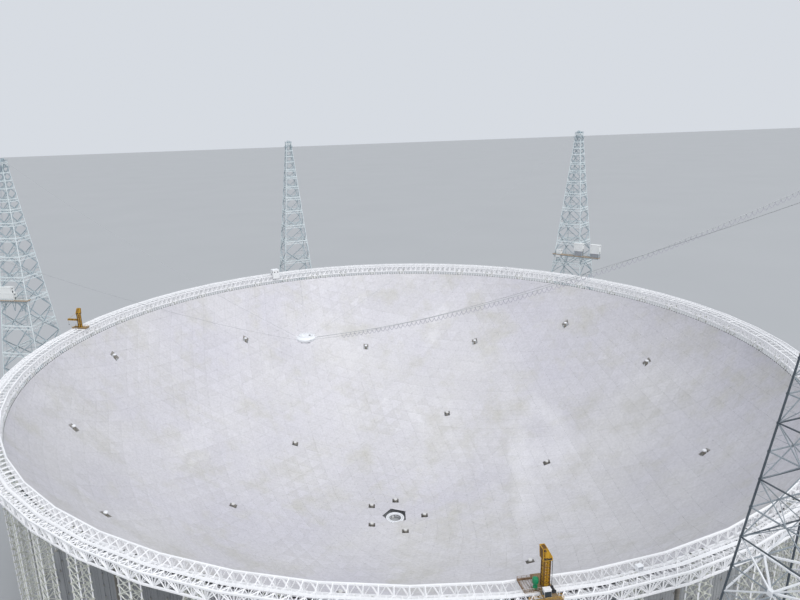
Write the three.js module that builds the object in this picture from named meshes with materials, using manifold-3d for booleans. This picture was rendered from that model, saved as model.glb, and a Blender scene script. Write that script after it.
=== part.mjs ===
import * as THREE from 'three';
import { mergeVertices } from 'three/addons/utils/BufferGeometryUtils.js';
import Module from 'manifold-3d';

const wasm = await Module();
wasm.setup();

// Scale 1:20. One metre of the full-size telescope is 50 mm here.
// Lengths below are written in full-size metres times METRE, so they come out in model millimetres.
const METRE = 50;
const DEGREE = Math.PI / 180;
// Clearance between pieces that touch, in model millimetres
const SEAT = 0.3;
const CUTTER_MARGIN = 2 * METRE;

// Levels above the floor
const RING_TOP = 146.5 * METRE;
const RING_DEPTH = 5.5 * METRE;
const RING_BOTTOM = RING_TOP - RING_DEPTH;

// Spherical reflector: an icosahedral net of triangles, with one vertex at the bottom
const REFLECTOR_RADIUS = 300 * METRE;
const REFLECTOR_CENTRE = RING_TOP + 158.7 * METRE;
const REFLECTOR_THICKNESS = 0.6 * METRE;
const REFLECTOR_SECTORS = 5;
const NET_FREQUENCY = 10;
const NET_ROW_LENGTH = REFLECTOR_RADIUS * Math.atan(2) / NET_FREQUENCY;
// Each sector is in two parts: first and last row of the net, counted from the bottom vertex
const REFLECTOR_PARTS = { lower: [0, 3], upper: [3, NET_FREQUENCY] };
const NET_AZIMUTH = 36.5 * DEGREE;
const RIM_RADIUS = 249.4 * METRE;
const CENTRE_HOLE_RADIUS = 9.9 * METRE;

// Ring girder and its columns
const COLUMN_COUNT = 50;
const COLUMNS_PER_SECTOR = 10;
const RING_SECTORS = COLUMN_COUNT / COLUMNS_PER_SECTOR;
const COLUMN_PITCH = 360 / COLUMN_COUNT * DEGREE;
const FIRST_COLUMN_AZIMUTH = -92.6 * DEGREE;
const INNER_CHORD_RADIUS = 250 * METRE;
const MIDDLE_CHORD_RADIUS = 255 * METRE;
const OUTER_CHORD_RADIUS = 261 * METRE;
const CHORD_SIZE = 0.7 * METRE;
const COLUMN_HALF_WIDTH = 3.1 * METRE;
const COLUMN_LEG_RADIUS = 0.34 * METRE;
const GIRDER_BAR_RADIUS = 0.3 * METRE;
const COLUMN_RUNG_RADIUS = 0.22 * METRE;
const COLUMN_RUNG_HEIGHT = 70 * METRE;
const HANGER_WIDTH = 0.4 * METRE;
const HANGER_BOTTOM = RING_TOP - 8.1 * METRE;

// Lattice towers that carry the cabin's cables
const TOWER_RADIUS = 300 * METRE;
const TOWER_LEG_TOP = RING_TOP + 132.6 * METRE;
const TOWER_TOP_HALF_WIDTH = 2.6 * METRE;
const TOWER_FOOT_HALF_WIDTH = 27.6 * METRE;
const TOWER_LEG_SIZE = 1 * METRE;
const TOWER_BAR_RADIUS = 0.36 * METRE;
const TOWER_HEAD_HEIGHT = 1.6 * METRE;
const SHEAVE_BLOCK = { length: 3.2 * METRE, width: 2 * METRE, height: 2.2 * METRE };

// Decks on the towers, with houses that stand on narrower plinths where they are raised
const DECK_WIDTH = 5 * METRE;
const DECK_THICKNESS = 0.7 * METRE;
const HOUSE_WIDTH = 4.6 * METRE;
const PLINTH_INSET = 0.7 * METRE;

// Each tower: azimuth in degrees, levels of its rings of bars, and its deck with its reach to each side
// A deck lies on the side that faces the reflector, or is turned from there by an angle in degrees
// Each house is [place along the deck, length, height, rise above the deck]
// Levels are above the ring girder's top
const BAR_LEVELS = [97.2, 60.6, 27, 5.5, -42, -92];
const NEAR_LEVELS = [101, 63, 26, 8, -36, -86];
const THREE_HOUSES = [[8.5, 4.5, 7.5, -3], [-12, 8.5, 7.5, 5], [-28.5, 9, 8.5, 4]];
const STEPPED_HOUSE = [[5, 13, 5.5, 0], [5, 10, 5, 5.2]];
const HIGH_DECK = { turn: 0, level: 14, from: -33, to: 14.5, houses: THREE_HOUSES };
const LOW_DECK = { turn: 0, level: -24, from: -33, to: 17.5, houses: THREE_HOUSES };
const SIDE_DECK = { turn: -90, level: 27, from: -13.5, to: 13.5, houses: STEPPED_HOUSE };
const TOWERS = [
  { azimuth: 51.1, levels: BAR_LEVELS, deck: HIGH_DECK },
  { azimuth: 111.1, levels: BAR_LEVELS, deck: LOW_DECK },
  { azimuth: 170.4, levels: BAR_LEVELS, deck: SIDE_DECK },
  { azimuth: 231.1, levels: BAR_LEVELS, deck: HIGH_DECK },
  { azimuth: 291.8, levels: NEAR_LEVELS, deck: LOW_DECK },
  { azimuth: 351.1, levels: BAR_LEVELS, deck: HIGH_DECK },
];
const LADEN_TOWER = 5;

// White cabin at the ring's inner edge, with a lower part that hangs inside the girder's top chord
const RING_CABIN = { azimuth: 118.9 * DEGREE, width: 6.6 * METRE, height: 6.2 * METRE };
const RING_CABIN_RADII = [246.4 * METRE, 249.1 * METRE, 253.8 * METRE];
const RING_CABIN_DROP = 2.6 * METRE;

// Two hoisting masts that stand across the ring
const MAST_AZIMUTHS = [-78.9 * DEGREE, 169.5 * DEGREE];
const MAST_RING_RADIUS = 255.5 * METRE;
const MAST_HALF_WIDTH = 1 * METRE;
const MAST_LEG_SIZE = 0.4 * METRE;
const MAST_HEIGHT = 12 * METRE;
const MAST_LEVELS = [3, 6, 9].map((level) => level * METRE);
const MAST_RUNG_RADIUS = 0.15 * METRE;
// Side view of the head, which leans to one side: [along the ring, height above the ring's top]
const MAST_HEAD_OUTLINE = [[-1.5, 11.8], [1.5, 11.8], [1.4, 13], [-0.3, 16.2], [-1.8, 16.2]];
const MAST_HEAD_DEPTH = 2.6 * METRE;
const MAST_DECK = { length: 13 * METRE, width: 4.8 * METRE, thickness: 0.8 * METRE };
// Side decks of the first mast: [first and last place across the ring, then the same along it]
const MAST_WINGS = [[-5.2, 1.4, -7.6, 0], [4.9, 6.5, -7.6, 3.6]];
const WING_THICKNESS = 0.5 * METRE;
const MAST_ARM = { length: 9 * METRE, size: 1.2 * METRE, level: 6 * METRE };
const CAB = { length: 2 * METRE, width: 2.4 * METRE, height: 2.4 * METRE, slope: 0.5 * METRE };
const CAB_PLACE = { x: 4.2 * METRE, y: -1.1 * METRE };
const TANK = { radius: 1 * METRE, height: 4.5 * METRE, sides: 10, x: 0.2 * METRE, y: -3.45 * METRE };

// Feed cabin and the cables that hold it
const CABIN_CENTRE = new THREE.Vector3(-58.4 * METRE, -20.7 * METRE, RING_TOP + 11 * METRE);
const CABIN_SIDES = 12;
const CABIN_PROFILE = [
  [0, -3.2], [2.2, -3.2], [2.4, -2], [5.6, -1.4], [6.5, -0.5], [6.5, 0.6], [4.8, 1.9], [0, 2.3],
];
const CABLE_RADIUS = 0.08 * METRE;
const LADEN_CABLE_RADIUS = 0.2 * METRE;
const CABLE_SIDES = 5;
const CABLE_STEPS = 10;
const CABLE_SAG = 6 * METRE;
const LADEN_CABLE_SAG = 19 * METRE;
const CABLE_START_RADIUS = 7.6 * METRE;
const CABLE_START_RISE = 1 * METRE;
const CABLE_END_REACH = 2.6 * METRE;
const SOCKET_SIZE = 0.6 * METRE;
const SOCKET_LENGTH = 2.4 * METRE;

// Docking ring on its stand, below the central opening
const DOCK_TOP = RING_TOP - 142.8 * METRE;
const DOCK_HEIGHT = 0.9 * METRE;
const DOCK_OUTER_RADIUS = 7 * METRE;
const DOCK_INNER_RADIUS = 4.6 * METRE;
const DOCK_SIDES = 20;
const DOCK_LEGS = 5;
const DOCK_LEG_SIZE = 0.9 * METRE;

// Measurement pillars, each free in its own opening: [distance from the axis, azimuth in degrees]
const PILLAR_RADIUS = 1.2 * METRE;
const PILLAR_SIDES = 6;
const PILLAR_RISE = 2 * METRE;
const PILLAR_OPENING = 5 * METRE;
const INNER_PILLARS = [[19.5, 88.3], [21.6, 147.4], [21.8, 216.3], [21.9, 289.7], [22.5, 358.4]];
const MIDDLE_PILLARS = [
  [125, 14.9], [128.8, 67.1], [113.8, 139.5], [121.2, 192.5], [120, 254], [118.8, 314.7],
];
const OUTER_PILLARS = [
  [219.6, 19.3], [225.8, 43.6], [200.7, 65.6], [192.9, 97.9], [215, 132], [235.5, 166.9],
  [223, 192.2], [205.4, 216.1], [215, 243], [215, 274], [215, 308], [204.7, 346.1],
];

const MATERIALS = {
  reflector: { color: 0xc4c5c9, roughness: 0.55, metalness: 0.6 },
  ring: { color: 0xeef0f2, roughness: 0.5, metalness: 0.2 },
  tower: { color: 0xa9bcc4, roughness: 0.5, metalness: 0.7 },
  cable: { color: 0x6d7478, roughness: 0.5, metalness: 0.8 },
  cabin: { color: 0xf4f5f5, roughness: 0.4, metalness: 0.1 },
  concrete: { color: 0xd9d8d2, roughness: 0.9, metalness: 0 },
  crane: { color: 0xd99a1c, roughness: 0.5, metalness: 0.2 },
  deck: { color: 0x9b7b4f, roughness: 0.85, metalness: 0 },
  tank: { color: 0x157a4a, roughness: 0.4, metalness: 0.1 },
};

function solidOf(geometry) {
  const plain = geometry.clone();
  plain.deleteAttribute('normal');
  plain.deleteAttribute('uv');
  const merged = mergeVertices(plain, 1e-3);
  return new wasm.Manifold(new wasm.Mesh({
    numProp: 3,
    vertProperties: new Float32Array(merged.attributes.position.array),
    triVerts: new Uint32Array(merged.index.array),
  }));
}

function geometryOf(solid) {
  const mesh = solid.getMesh();
  const geometry = new THREE.BufferGeometry();
  geometry.setAttribute('position', new THREE.BufferAttribute(new Float32Array(mesh.vertProperties), 3));
  geometry.setIndex(new THREE.BufferAttribute(new Uint32Array(mesh.triVerts), 1));
  return geometry;
}

function fuse(geometries) {
  let parts = geometries.map(solidOf);
  while (parts.length > 1) {
    const joined = [];
    for (let i = 0; i < parts.length; i += 2) {
      joined.push(i + 1 < parts.length ? parts[i].add(parts[i + 1]) : parts[i]);
    }
    parts = joined;
  }
  return parts[0];
}

function box(x, y, z, centre) {
  return new THREE.BoxGeometry(x, y, z).translate(centre.x, centre.y, centre.z);
}

// Bar between two points: square where sides is 4, and triangular where it is 3
function bar(start, end, radius, sides, twist = 0) {
  const direction = new THREE.Vector3().subVectors(end, start);
  const geometry = new THREE.CylinderGeometry(radius, radius, direction.length(), sides);
  geometry.rotateY(twist);
  const upright = new THREE.Vector3(0, 1, 0);
  const turn = new THREE.Quaternion().setFromUnitVectors(upright, direction.clone().normalize());
  geometry.applyQuaternion(turn);
  const middle = new THREE.Vector3().addVectors(start, end).multiplyScalar(0.5);
  return geometry.translate(middle.x, middle.y, middle.z);
}

function polar(radius, azimuth, z) {
  return new THREE.Vector3(radius * Math.cos(azimuth), radius * Math.sin(azimuth), z);
}

function named(name, geometry, look) {
  const mesh = new THREE.Mesh(geometry, new THREE.MeshStandardMaterial(MATERIALS[look]));
  mesh.name = name;
  return mesh;
}

// Height of the reflecting surface at a distance from the axis
function reflectorHeight(radius) {
  return REFLECTOR_CENTRE - Math.sqrt(REFLECTOR_RADIUS ** 2 - radius ** 2);
}

// One fifth of the reflector: a face of an icosahedron, divided and pushed out to the sphere
function netFace(azimuth) {
  const polarAngle = Math.atan(2);
  const half = Math.PI / REFLECTOR_SECTORS;
  const corners = [new THREE.Vector3(0, 0, -1)];
  for (const side of [-half, half]) {
    const flat = polar(Math.sin(polarAngle), azimuth + side, -Math.cos(polarAngle));
    corners.push(flat);
  }
  return corners;
}

// Points of one row of the net; a row can be moved up a little from its own place
function netRow(corners, row, shift, radius) {
  const points = [];
  for (let i = 0; i <= row; i += 1) {
    const across = row === 0 ? 0 : i / row * (row + shift);
    const point = new THREE.Vector3();
    point.addScaledVector(corners[0], NET_FREQUENCY - row - shift);
    point.addScaledVector(corners[1], row + shift - across);
    point.addScaledVector(corners[2], across);
    points.push(point.normalize().multiplyScalar(radius));
  }
  return points;
}

function sectorShell(azimuth, [first, last]) {
  const corners = netFace(azimuth);
  const positions = [];
  const index = [];
  const surface = (radius) => {
    const rows = [];
    for (let row = first; row <= last; row += 1) {
      const shift = row === first && first > 0 ? SEAT / NET_ROW_LENGTH : 0;
      const start = positions.length / 3;
      netRow(corners, row, shift, radius).forEach((point) => positions.push(...point.toArray()));
      rows[row] = Array.from({ length: row + 1 }, (_, i) => start + i);
    }
    return rows;
  };
  const inside = surface(REFLECTOR_RADIUS);
  const outside = surface(REFLECTOR_RADIUS + REFLECTOR_THICKNESS);
  const face = (a, b, c) => index.push(a, c, b);
  for (let row = first; row < last; row += 1) {
    for (let step = 0; step <= row; step += 1) {
      face(inside[row][step], inside[row + 1][step + 1], inside[row + 1][step]);
      face(outside[row][step], outside[row + 1][step], outside[row + 1][step + 1]);
      if (step < row) {
        face(inside[row][step], inside[row][step + 1], inside[row + 1][step + 1]);
        face(outside[row][step], outside[row + 1][step + 1], outside[row][step + 1]);
      }
    }
  }
  const wall = (a, b) => {
    face(inside[a[0]][a[1]], outside[a[0]][a[1]], outside[b[0]][b[1]]);
    face(inside[a[0]][a[1]], outside[b[0]][b[1]], inside[b[0]][b[1]]);
  };
  for (let i = first; i < last; i += 1) {
    wall([i + 1, 0], [i, 0]);
    wall([i, i], [i + 1, i + 1]);
  }
  for (let i = 0; i < last; i += 1) {
    wall([last, i + 1], [last, i]);
  }
  for (let i = 0; i < first; i += 1) {
    wall([first, i], [first, i + 1]);
  }
  const geometry = new THREE.BufferGeometry();
  geometry.setAttribute('position', new THREE.Float32BufferAttribute(positions, 3));
  geometry.setIndex(index);
  const apart = polar(SEAT / 2 / Math.sin(Math.PI / REFLECTOR_SECTORS), azimuth, REFLECTOR_CENTRE);
  return geometry.translate(apart.x, apart.y, apart.z);
}

// Upright prism that turns its first corner to an azimuth
function uprightPrism(radius, sides, azimuth, bottom, top) {
  const geometry = new THREE.CylinderGeometry(radius, radius, top - bottom, sides);
  geometry.rotateX(Math.PI / 2);
  geometry.rotateZ(azimuth + Math.PI / 2);
  return geometry.translate(0, 0, (top + bottom) / 2);
}

function rimPrism() {
  const corner = RIM_RADIUS / Math.cos(COLUMN_PITCH / 2);
  const firstCorner = FIRST_COLUMN_AZIMUTH + COLUMN_PITCH / 2;
  return uprightPrism(corner, COLUMN_COUNT, firstCorner, 0, RING_TOP);
}

function pillarCutters(azimuth) {
  const half = Math.PI / REFLECTOR_SECTORS;
  const cutters = [];
  for (const [distance, degrees] of [...INNER_PILLARS, ...MIDDLE_PILLARS, ...OUTER_PILLARS]) {
    const foot = polar(distance * METRE, degrees * DEGREE, 0);
    const off = foot.angleTo(polar(1, azimuth, 0));
    if ((off - half) * foot.length() < PILLAR_OPENING) {
      foot.z = reflectorHeight(foot.length());
      cutters.push(box(PILLAR_OPENING, PILLAR_OPENING, PILLAR_OPENING * 4, foot));
    }
  }
  return cutters;
}

function reflectorPart(azimuth, rows) {
  const sides = REFLECTOR_SECTORS;
  const centreHole = uprightPrism(CENTRE_HOLE_RADIUS, sides, NET_AZIMUTH, -CUTTER_MARGIN, RING_BOTTOM);
  let solid = solidOf(sectorShell(azimuth, rows)).intersect(solidOf(rimPrism()));
  solid = solid.subtract(solidOf(centreHole));
  for (const cutter of pillarCutters(azimuth)) {
    solid = solid.subtract(solidOf(cutter));
  }
  return geometryOf(solid);
}

function reflector() {
  const group = new THREE.Group();
  for (let i = 0; i < REFLECTOR_SECTORS; i += 1) {
    const azimuth = NET_AZIMUTH + (i + 0.5) * 2 * Math.PI / REFLECTOR_SECTORS;
    for (const [part, rows] of Object.entries(REFLECTOR_PARTS)) {
      group.add(named(`reflector_${part}_${i + 1}`, reflectorPart(azimuth, rows), 'reflector'));
    }
  }
  return group;
}

// Chord of one ring sector, straight between mid-span points, lying along a nominal radius
function chordLine(radius) {
  const kink = radius * 2 / (1 + Math.cos(COLUMN_PITCH / 2));
  return { kink, atColumn: kink * Math.cos(COLUMN_PITCH / 2) };
}

function chord(radius, top) {
  const { kink } = chordLine(radius);
  const half = CHORD_SIZE / 2;
  const points = [];
  const azimuths = [];
  for (let i = 0; i <= COLUMNS_PER_SECTOR; i += 1) {
    azimuths.push((i - COLUMNS_PER_SECTOR / 2) * COLUMN_PITCH);
  }
  const trim = SEAT / 2 / INNER_CHORD_RADIUS;
  azimuths[0] += trim;
  azimuths[COLUMNS_PER_SECTOR] -= trim;
  const corner = (distance, azimuth) => {
    points.push(new THREE.Vector2(distance * Math.cos(azimuth), distance * Math.sin(azimuth)));
  };
  azimuths.forEach((azimuth) => corner(kink + half, azimuth));
  azimuths.toReversed().forEach((azimuth) => corner(kink - half, azimuth));
  const outline = new THREE.Shape(points);
  const geometry = new THREE.ExtrudeGeometry(outline, { depth: CHORD_SIZE, bevelEnabled: false });
  return geometry.translate(0, 0, top - CHORD_SIZE);
}

// Column legs run from the floor into the inner and middle lower chords, each with a flat side
// towards its neighbour
function column() {
  const inner = chordLine(INNER_CHORD_RADIUS).atColumn;
  const middle = chordLine(MIDDLE_CHORD_RADIUS).atColumn;
  const outer = chordLine(OUTER_CHORD_RADIUS).atColumn;
  const low = RING_BOTTOM + CHORD_SIZE / 2;
  const high = RING_TOP - CHORD_SIZE / 2;
  const pieces = [];
  for (const radius of [inner, middle]) {
    for (const side of [-1, 1]) {
      const foot = new THREE.Vector3(radius, side * COLUMN_HALF_WIDTH, 0);
      const twist = side > 0 ? Math.PI : 0;
      pieces.push(bar(foot, foot.clone().setZ(low), COLUMN_LEG_RADIUS, 3, twist));
    }
    const left = new THREE.Vector3(radius, -COLUMN_HALF_WIDTH, COLUMN_RUNG_HEIGHT);
    const right = new THREE.Vector3(radius, COLUMN_HALF_WIDTH, COLUMN_RUNG_HEIGHT);
    pieces.push(bar(left, right, COLUMN_RUNG_RADIUS, 3));
  }
  for (const radius of [inner, outer]) {
    const post = new THREE.Vector3(radius, 0, low);
    pieces.push(bar(post, post.clone().setZ(high), GIRDER_BAR_RADIUS, 3));
  }
  for (const level of [low, high]) {
    const start = new THREE.Vector3(inner, 0, level);
    pieces.push(bar(start, start.clone().setX(outer), GIRDER_BAR_RADIUS, 3));
  }
  return pieces;
}

// Plate that hangs from the inner lower chord and holds the reflector's rim
function rimHanger() {
  const inside = RIM_RADIUS + SEAT;
  const outside = chordLine(INNER_CHORD_RADIUS).atColumn + CHORD_SIZE / 3;
  const top = RING_BOTTOM + CHORD_SIZE / 2;
  const centre = new THREE.Vector3((inside + outside) / 2, 0, (top + HANGER_BOTTOM) / 2);
  return box(outside - inside, HANGER_WIDTH, top - HANGER_BOTTOM, centre);
}

function ringSector() {
  const pieces = [];
  for (const radius of [INNER_CHORD_RADIUS, OUTER_CHORD_RADIUS]) {
    pieces.push(chord(radius, RING_TOP));
    pieces.push(chord(radius, RING_BOTTOM + CHORD_SIZE));
  }
  pieces.push(chord(MIDDLE_CHORD_RADIUS, RING_BOTTOM + CHORD_SIZE));
  for (let i = 0; i < COLUMNS_PER_SECTOR; i += 1) {
    const azimuth = (i - (COLUMNS_PER_SECTOR - 1) / 2) * COLUMN_PITCH;
    for (const piece of [...column(), rimHanger()]) {
      pieces.push(piece.rotateZ(azimuth));
    }
  }
  return geometryOf(fuse(pieces));
}

function ring() {
  const group = new THREE.Group();
  const geometry = ringSector();
  for (let i = 0; i < RING_SECTORS; i += 1) {
    const mesh = named(`ring_sector_${i + 1}`, geometry, 'ring');
    const middle = (i + 0.5) * COLUMNS_PER_SECTOR - 0.5;
    mesh.rotation.z = FIRST_COLUMN_AZIMUTH + middle * COLUMN_PITCH;
    group.add(mesh);
  }
  return group;
}

function towerHalfWidth(z) {
  const rise = z / TOWER_LEG_TOP;
  return TOWER_FOOT_HALF_WIDTH + (TOWER_TOP_HALF_WIDTH - TOWER_FOOT_HALF_WIDTH) * rise;
}

// Leg that leans inwards, with level ends
function towerLeg(sideX, sideY) {
  const geometry = new THREE.BoxGeometry(TOWER_LEG_SIZE, TOWER_LEG_SIZE, TOWER_LEG_TOP);
  geometry.translate(0, 0, TOWER_LEG_TOP / 2);
  const lean = (TOWER_TOP_HALF_WIDTH - TOWER_FOOT_HALF_WIDTH) / TOWER_LEG_TOP;
  const shear = new THREE.Matrix4();
  shear.elements[8] = sideX * lean;
  shear.elements[9] = sideY * lean;
  geometry.applyMatrix4(shear);
  return geometry.translate(sideX * TOWER_FOOT_HALF_WIDTH, sideY * TOWER_FOOT_HALF_WIDTH, 0);
}

function towerFrame(levels) {
  const pieces = [];
  for (const sideX of [-1, 1]) {
    for (const sideY of [-1, 1]) {
      pieces.push(towerLeg(sideX, sideY));
    }
  }
  for (const level of levels) {
    const z = RING_TOP + level * METRE;
    const half = towerHalfWidth(z);
    const corners = [[-half, -half], [half, -half], [half, half], [-half, half]];
    corners.forEach((corner, i) => {
      const start = new THREE.Vector3(...corner, z);
      const end = new THREE.Vector3(...corners[(i + 1) % corners.length], z);
      pieces.push(bar(start, end, TOWER_BAR_RADIUS, 3));
    });
  }
  return [...pieces, ...towerHead()];
}

function towerHead() {
  const headWidth = 2 * TOWER_TOP_HALF_WIDTH + TOWER_LEG_SIZE;
  const headCentre = new THREE.Vector3(0, 0, TOWER_LEG_TOP);
  const blockBottom = TOWER_LEG_TOP + TOWER_HEAD_HEIGHT / 4;
  const blockCentre = new THREE.Vector3(0, 0, blockBottom + SHEAVE_BLOCK.height / 2);
  return [
    box(headWidth, headWidth, TOWER_HEAD_HEIGHT, headCentre),
    box(SHEAVE_BLOCK.length, SHEAVE_BLOCK.width, SHEAVE_BLOCK.height, blockCentre),
  ];
}

// Deck along one side of a tower, with the winch houses on it
function towerDeck({ turn, level, from, to, houses }) {
  const top = RING_TOP + level * METRE;
  const front = -towerHalfWidth(top);
  const anchored = top - DECK_THICKNESS / 2;
  const block = (place, width, length, bottom, roof) => {
    const centre = new THREE.Vector3(front, place * METRE, (bottom + roof) / 2);
    return box(width, length, roof - bottom, centre);
  };
  const pieces = [block((from + to) / 2, DECK_WIDTH, (to - from) * METRE, top - DECK_THICKNESS, top)];
  for (const [place, length, height, rise] of houses) {
    const base = rise === 0 ? anchored : top + rise * METRE;
    const roof = top + (rise + height) * METRE;
    pieces.push(block(place, HOUSE_WIDTH, length * METRE, base, roof));
    if (rise > 0) {
      const width = HOUSE_WIDTH - 2 * PLINTH_INSET;
      pieces.push(block(place, width, length * METRE - 2 * PLINTH_INSET, anchored, base + DECK_THICKNESS));
    }
  }
  return pieces.map((piece) => piece.rotateZ(turn * DEGREE));
}

// Cable that sags between the cabin and a tower's head
class SaggingCable extends THREE.Curve {
  constructor(start, end, sag) {
    super();
    this.start = start;
    this.end = end;
    this.sag = sag;
  }

  getPoint(t, target = new THREE.Vector3()) {
    target.lerpVectors(this.start, this.end, t);
    target.z -= 4 * this.sag * t * (1 - t);
    return target;
  }
}

function cableRoute(index) {
  const azimuth = TOWERS[index].azimuth * DEGREE;
  const head = polar(TOWER_RADIUS, azimuth, TOWER_LEG_TOP + TOWER_HEAD_HEIGHT);
  const towards = new THREE.Vector3().subVectors(head, CABIN_CENTRE).setZ(0).normalize();
  const start = CABIN_CENTRE.clone().addScaledVector(towards, CABLE_START_RADIUS);
  start.z += CABLE_START_RISE;
  const end = head.clone().addScaledVector(towards, -CABLE_END_REACH);
  const laden = index === LADEN_TOWER;
  const curve = new SaggingCable(start, end, laden ? LADEN_CABLE_SAG : CABLE_SAG);
  return { azimuth, curve, radius: laden ? LADEN_CABLE_RADIUS : CABLE_RADIUS };
}

function cable(index) {
  const { curve, radius } = cableRoute(index);
  const section = new THREE.Shape();
  for (let i = 0; i < CABLE_SIDES; i += 1) {
    const angle = i * 2 * Math.PI / CABLE_SIDES;
    const corner = [radius * Math.cos(angle), radius * Math.sin(angle)];
    if (i === 0) {
      section.moveTo(...corner);
    } else {
      section.lineTo(...corner);
    }
  }
  section.closePath();
  const sweep = { extrudePath: curve, steps: CABLE_STEPS, bevelEnabled: false };
  return new THREE.ExtrudeGeometry(section, sweep);
}

// Socket in line with a cable's end, with the seat's clearance between them
function socket(curve, atEnd) {
  const t = atEnd ? 1 : 0;
  const along = curve.getTangent(t).multiplyScalar(atEnd ? 1 : -1);
  const face = curve.getPoint(t).addScaledVector(along, SEAT);
  const back = face.clone().addScaledVector(along, SOCKET_LENGTH);
  return bar(face, back, SOCKET_SIZE / Math.SQRT2, 4);
}

function tower(index) {
  const { azimuth, curve } = cableRoute(index);
  const { levels, deck } = TOWERS[index];
  const frame = geometryOf(fuse([...towerFrame(levels), ...towerDeck(deck)])).rotateZ(azimuth);
  frame.translate(TOWER_RADIUS * Math.cos(azimuth), TOWER_RADIUS * Math.sin(azimuth), 0);
  return geometryOf(fuse([frame, socket(curve, true)]));
}

function towers() {
  const group = new THREE.Group();
  TOWERS.forEach((_, i) => {
    group.add(named(`cable_tower_${i + 1}`, tower(i), 'tower'));
    group.add(named(`support_cable_${i + 1}`, cable(i), 'cable'));
  });
  return group;
}

function feedCabin() {
  const profile = CABIN_PROFILE.map(([radius, z]) => new THREE.Vector2(radius * METRE, z * METRE));
  const body = new THREE.LatheGeometry(profile, CABIN_SIDES).rotateX(Math.PI / 2);
  body.translate(CABIN_CENTRE.x, CABIN_CENTRE.y, CABIN_CENTRE.z);
  const pieces = [body, ...TOWERS.map((_, i) => socket(cableRoute(i).curve, false))];
  return named('feed_cabin', geometryOf(fuse(pieces)), 'cabin');
}

function dockingRing() {
  const bottom = DOCK_TOP - DOCK_HEIGHT;
  const corners = [
    [DOCK_INNER_RADIUS, bottom], [DOCK_OUTER_RADIUS, bottom],
    [DOCK_OUTER_RADIUS, DOCK_TOP], [DOCK_INNER_RADIUS, DOCK_TOP], [DOCK_INNER_RADIUS, bottom],
  ];
  const profile = corners.map(([radius, z]) => new THREE.Vector2(radius, z));
  const pieces = [new THREE.LatheGeometry(profile, DOCK_SIDES).rotateX(Math.PI / 2)];
  const legTop = bottom + DOCK_HEIGHT / 2;
  for (let i = 0; i < DOCK_LEGS; i += 1) {
    const centre = new THREE.Vector3((DOCK_INNER_RADIUS + DOCK_OUTER_RADIUS) / 2, 0, legTop / 2);
    const leg = box(DOCK_LEG_SIZE, DOCK_LEG_SIZE, legTop, centre);
    pieces.push(leg.rotateZ(NET_AZIMUTH + i * 2 * Math.PI / DOCK_LEGS));
  }
  return named('docking_ring', geometryOf(fuse(pieces)), 'cabin');
}

function pillar(distance, degrees) {
  const foot = polar(distance * METRE, degrees * DEGREE, 0);
  const top = reflectorHeight(foot.length()) + PILLAR_RISE;
  return uprightPrism(PILLAR_RADIUS, PILLAR_SIDES, 0, 0, top).translate(foot.x, foot.y, 0);
}

function pillars() {
  const group = new THREE.Group();
  const rows = { inner_pillar: INNER_PILLARS, middle_pillar: MIDDLE_PILLARS, outer_pillar: OUTER_PILLARS };
  for (const [row, places] of Object.entries(rows)) {
    places.forEach(([distance, degrees], i) => {
      group.add(named(`${row}_${i + 1}`, geometryOf(solidOf(pillar(distance, degrees))), 'concrete'));
    });
  }
  return group;
}

// L-shaped in section: the cabin rests on the girder's top chord and hangs past its inner side
function ringCabin() {
  const [inside, step, outside] = RING_CABIN_RADII;
  const { azimuth, width, height } = RING_CABIN;
  const corners = [
    [inside, -RING_CABIN_DROP], [step, -RING_CABIN_DROP], [step, SEAT],
    [outside, SEAT], [outside, height], [inside, height],
  ];
  const section = new THREE.Shape(corners.map(([x, z]) => new THREE.Vector2(x, z)));
  const geometry = new THREE.ExtrudeGeometry(section, { depth: width, bevelEnabled: false });
  geometry.rotateX(Math.PI / 2).translate(0, width / 2, RING_TOP).rotateZ(azimuth);
  return named('ring_cabin', geometry, 'cabin');
}

// The hoisting masts are drawn with X pointing away from the axis and Z measured from the ring's top
function mastDeck(wings) {
  const { length, width, thickness } = MAST_DECK;
  const pieces = [box(length, width, thickness, new THREE.Vector3(0, 0, thickness / 2))];
  for (const [fromX, toX, fromY, toY] of wings) {
    const centre = new THREE.Vector3(fromX + toX, fromY + toY, 0).multiplyScalar(METRE / 2);
    centre.z = WING_THICKNESS / 2;
    pieces.push(box((toX - fromX) * METRE, (toY - fromY) * METRE, WING_THICKNESS, centre));
  }
  return fuse(pieces);
}

function mastHead() {
  const corners = MAST_HEAD_OUTLINE.map(([y, z]) => new THREE.Vector2(y * METRE, z * METRE));
  const sweep = { depth: MAST_HEAD_DEPTH, bevelEnabled: false };
  const geometry = new THREE.ExtrudeGeometry(new THREE.Shape(corners), sweep);
  geometry.translate(0, 0, -MAST_HEAD_DEPTH / 2);
  return geometry.rotateX(Math.PI / 2).rotateZ(Math.PI / 2);
}

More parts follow.
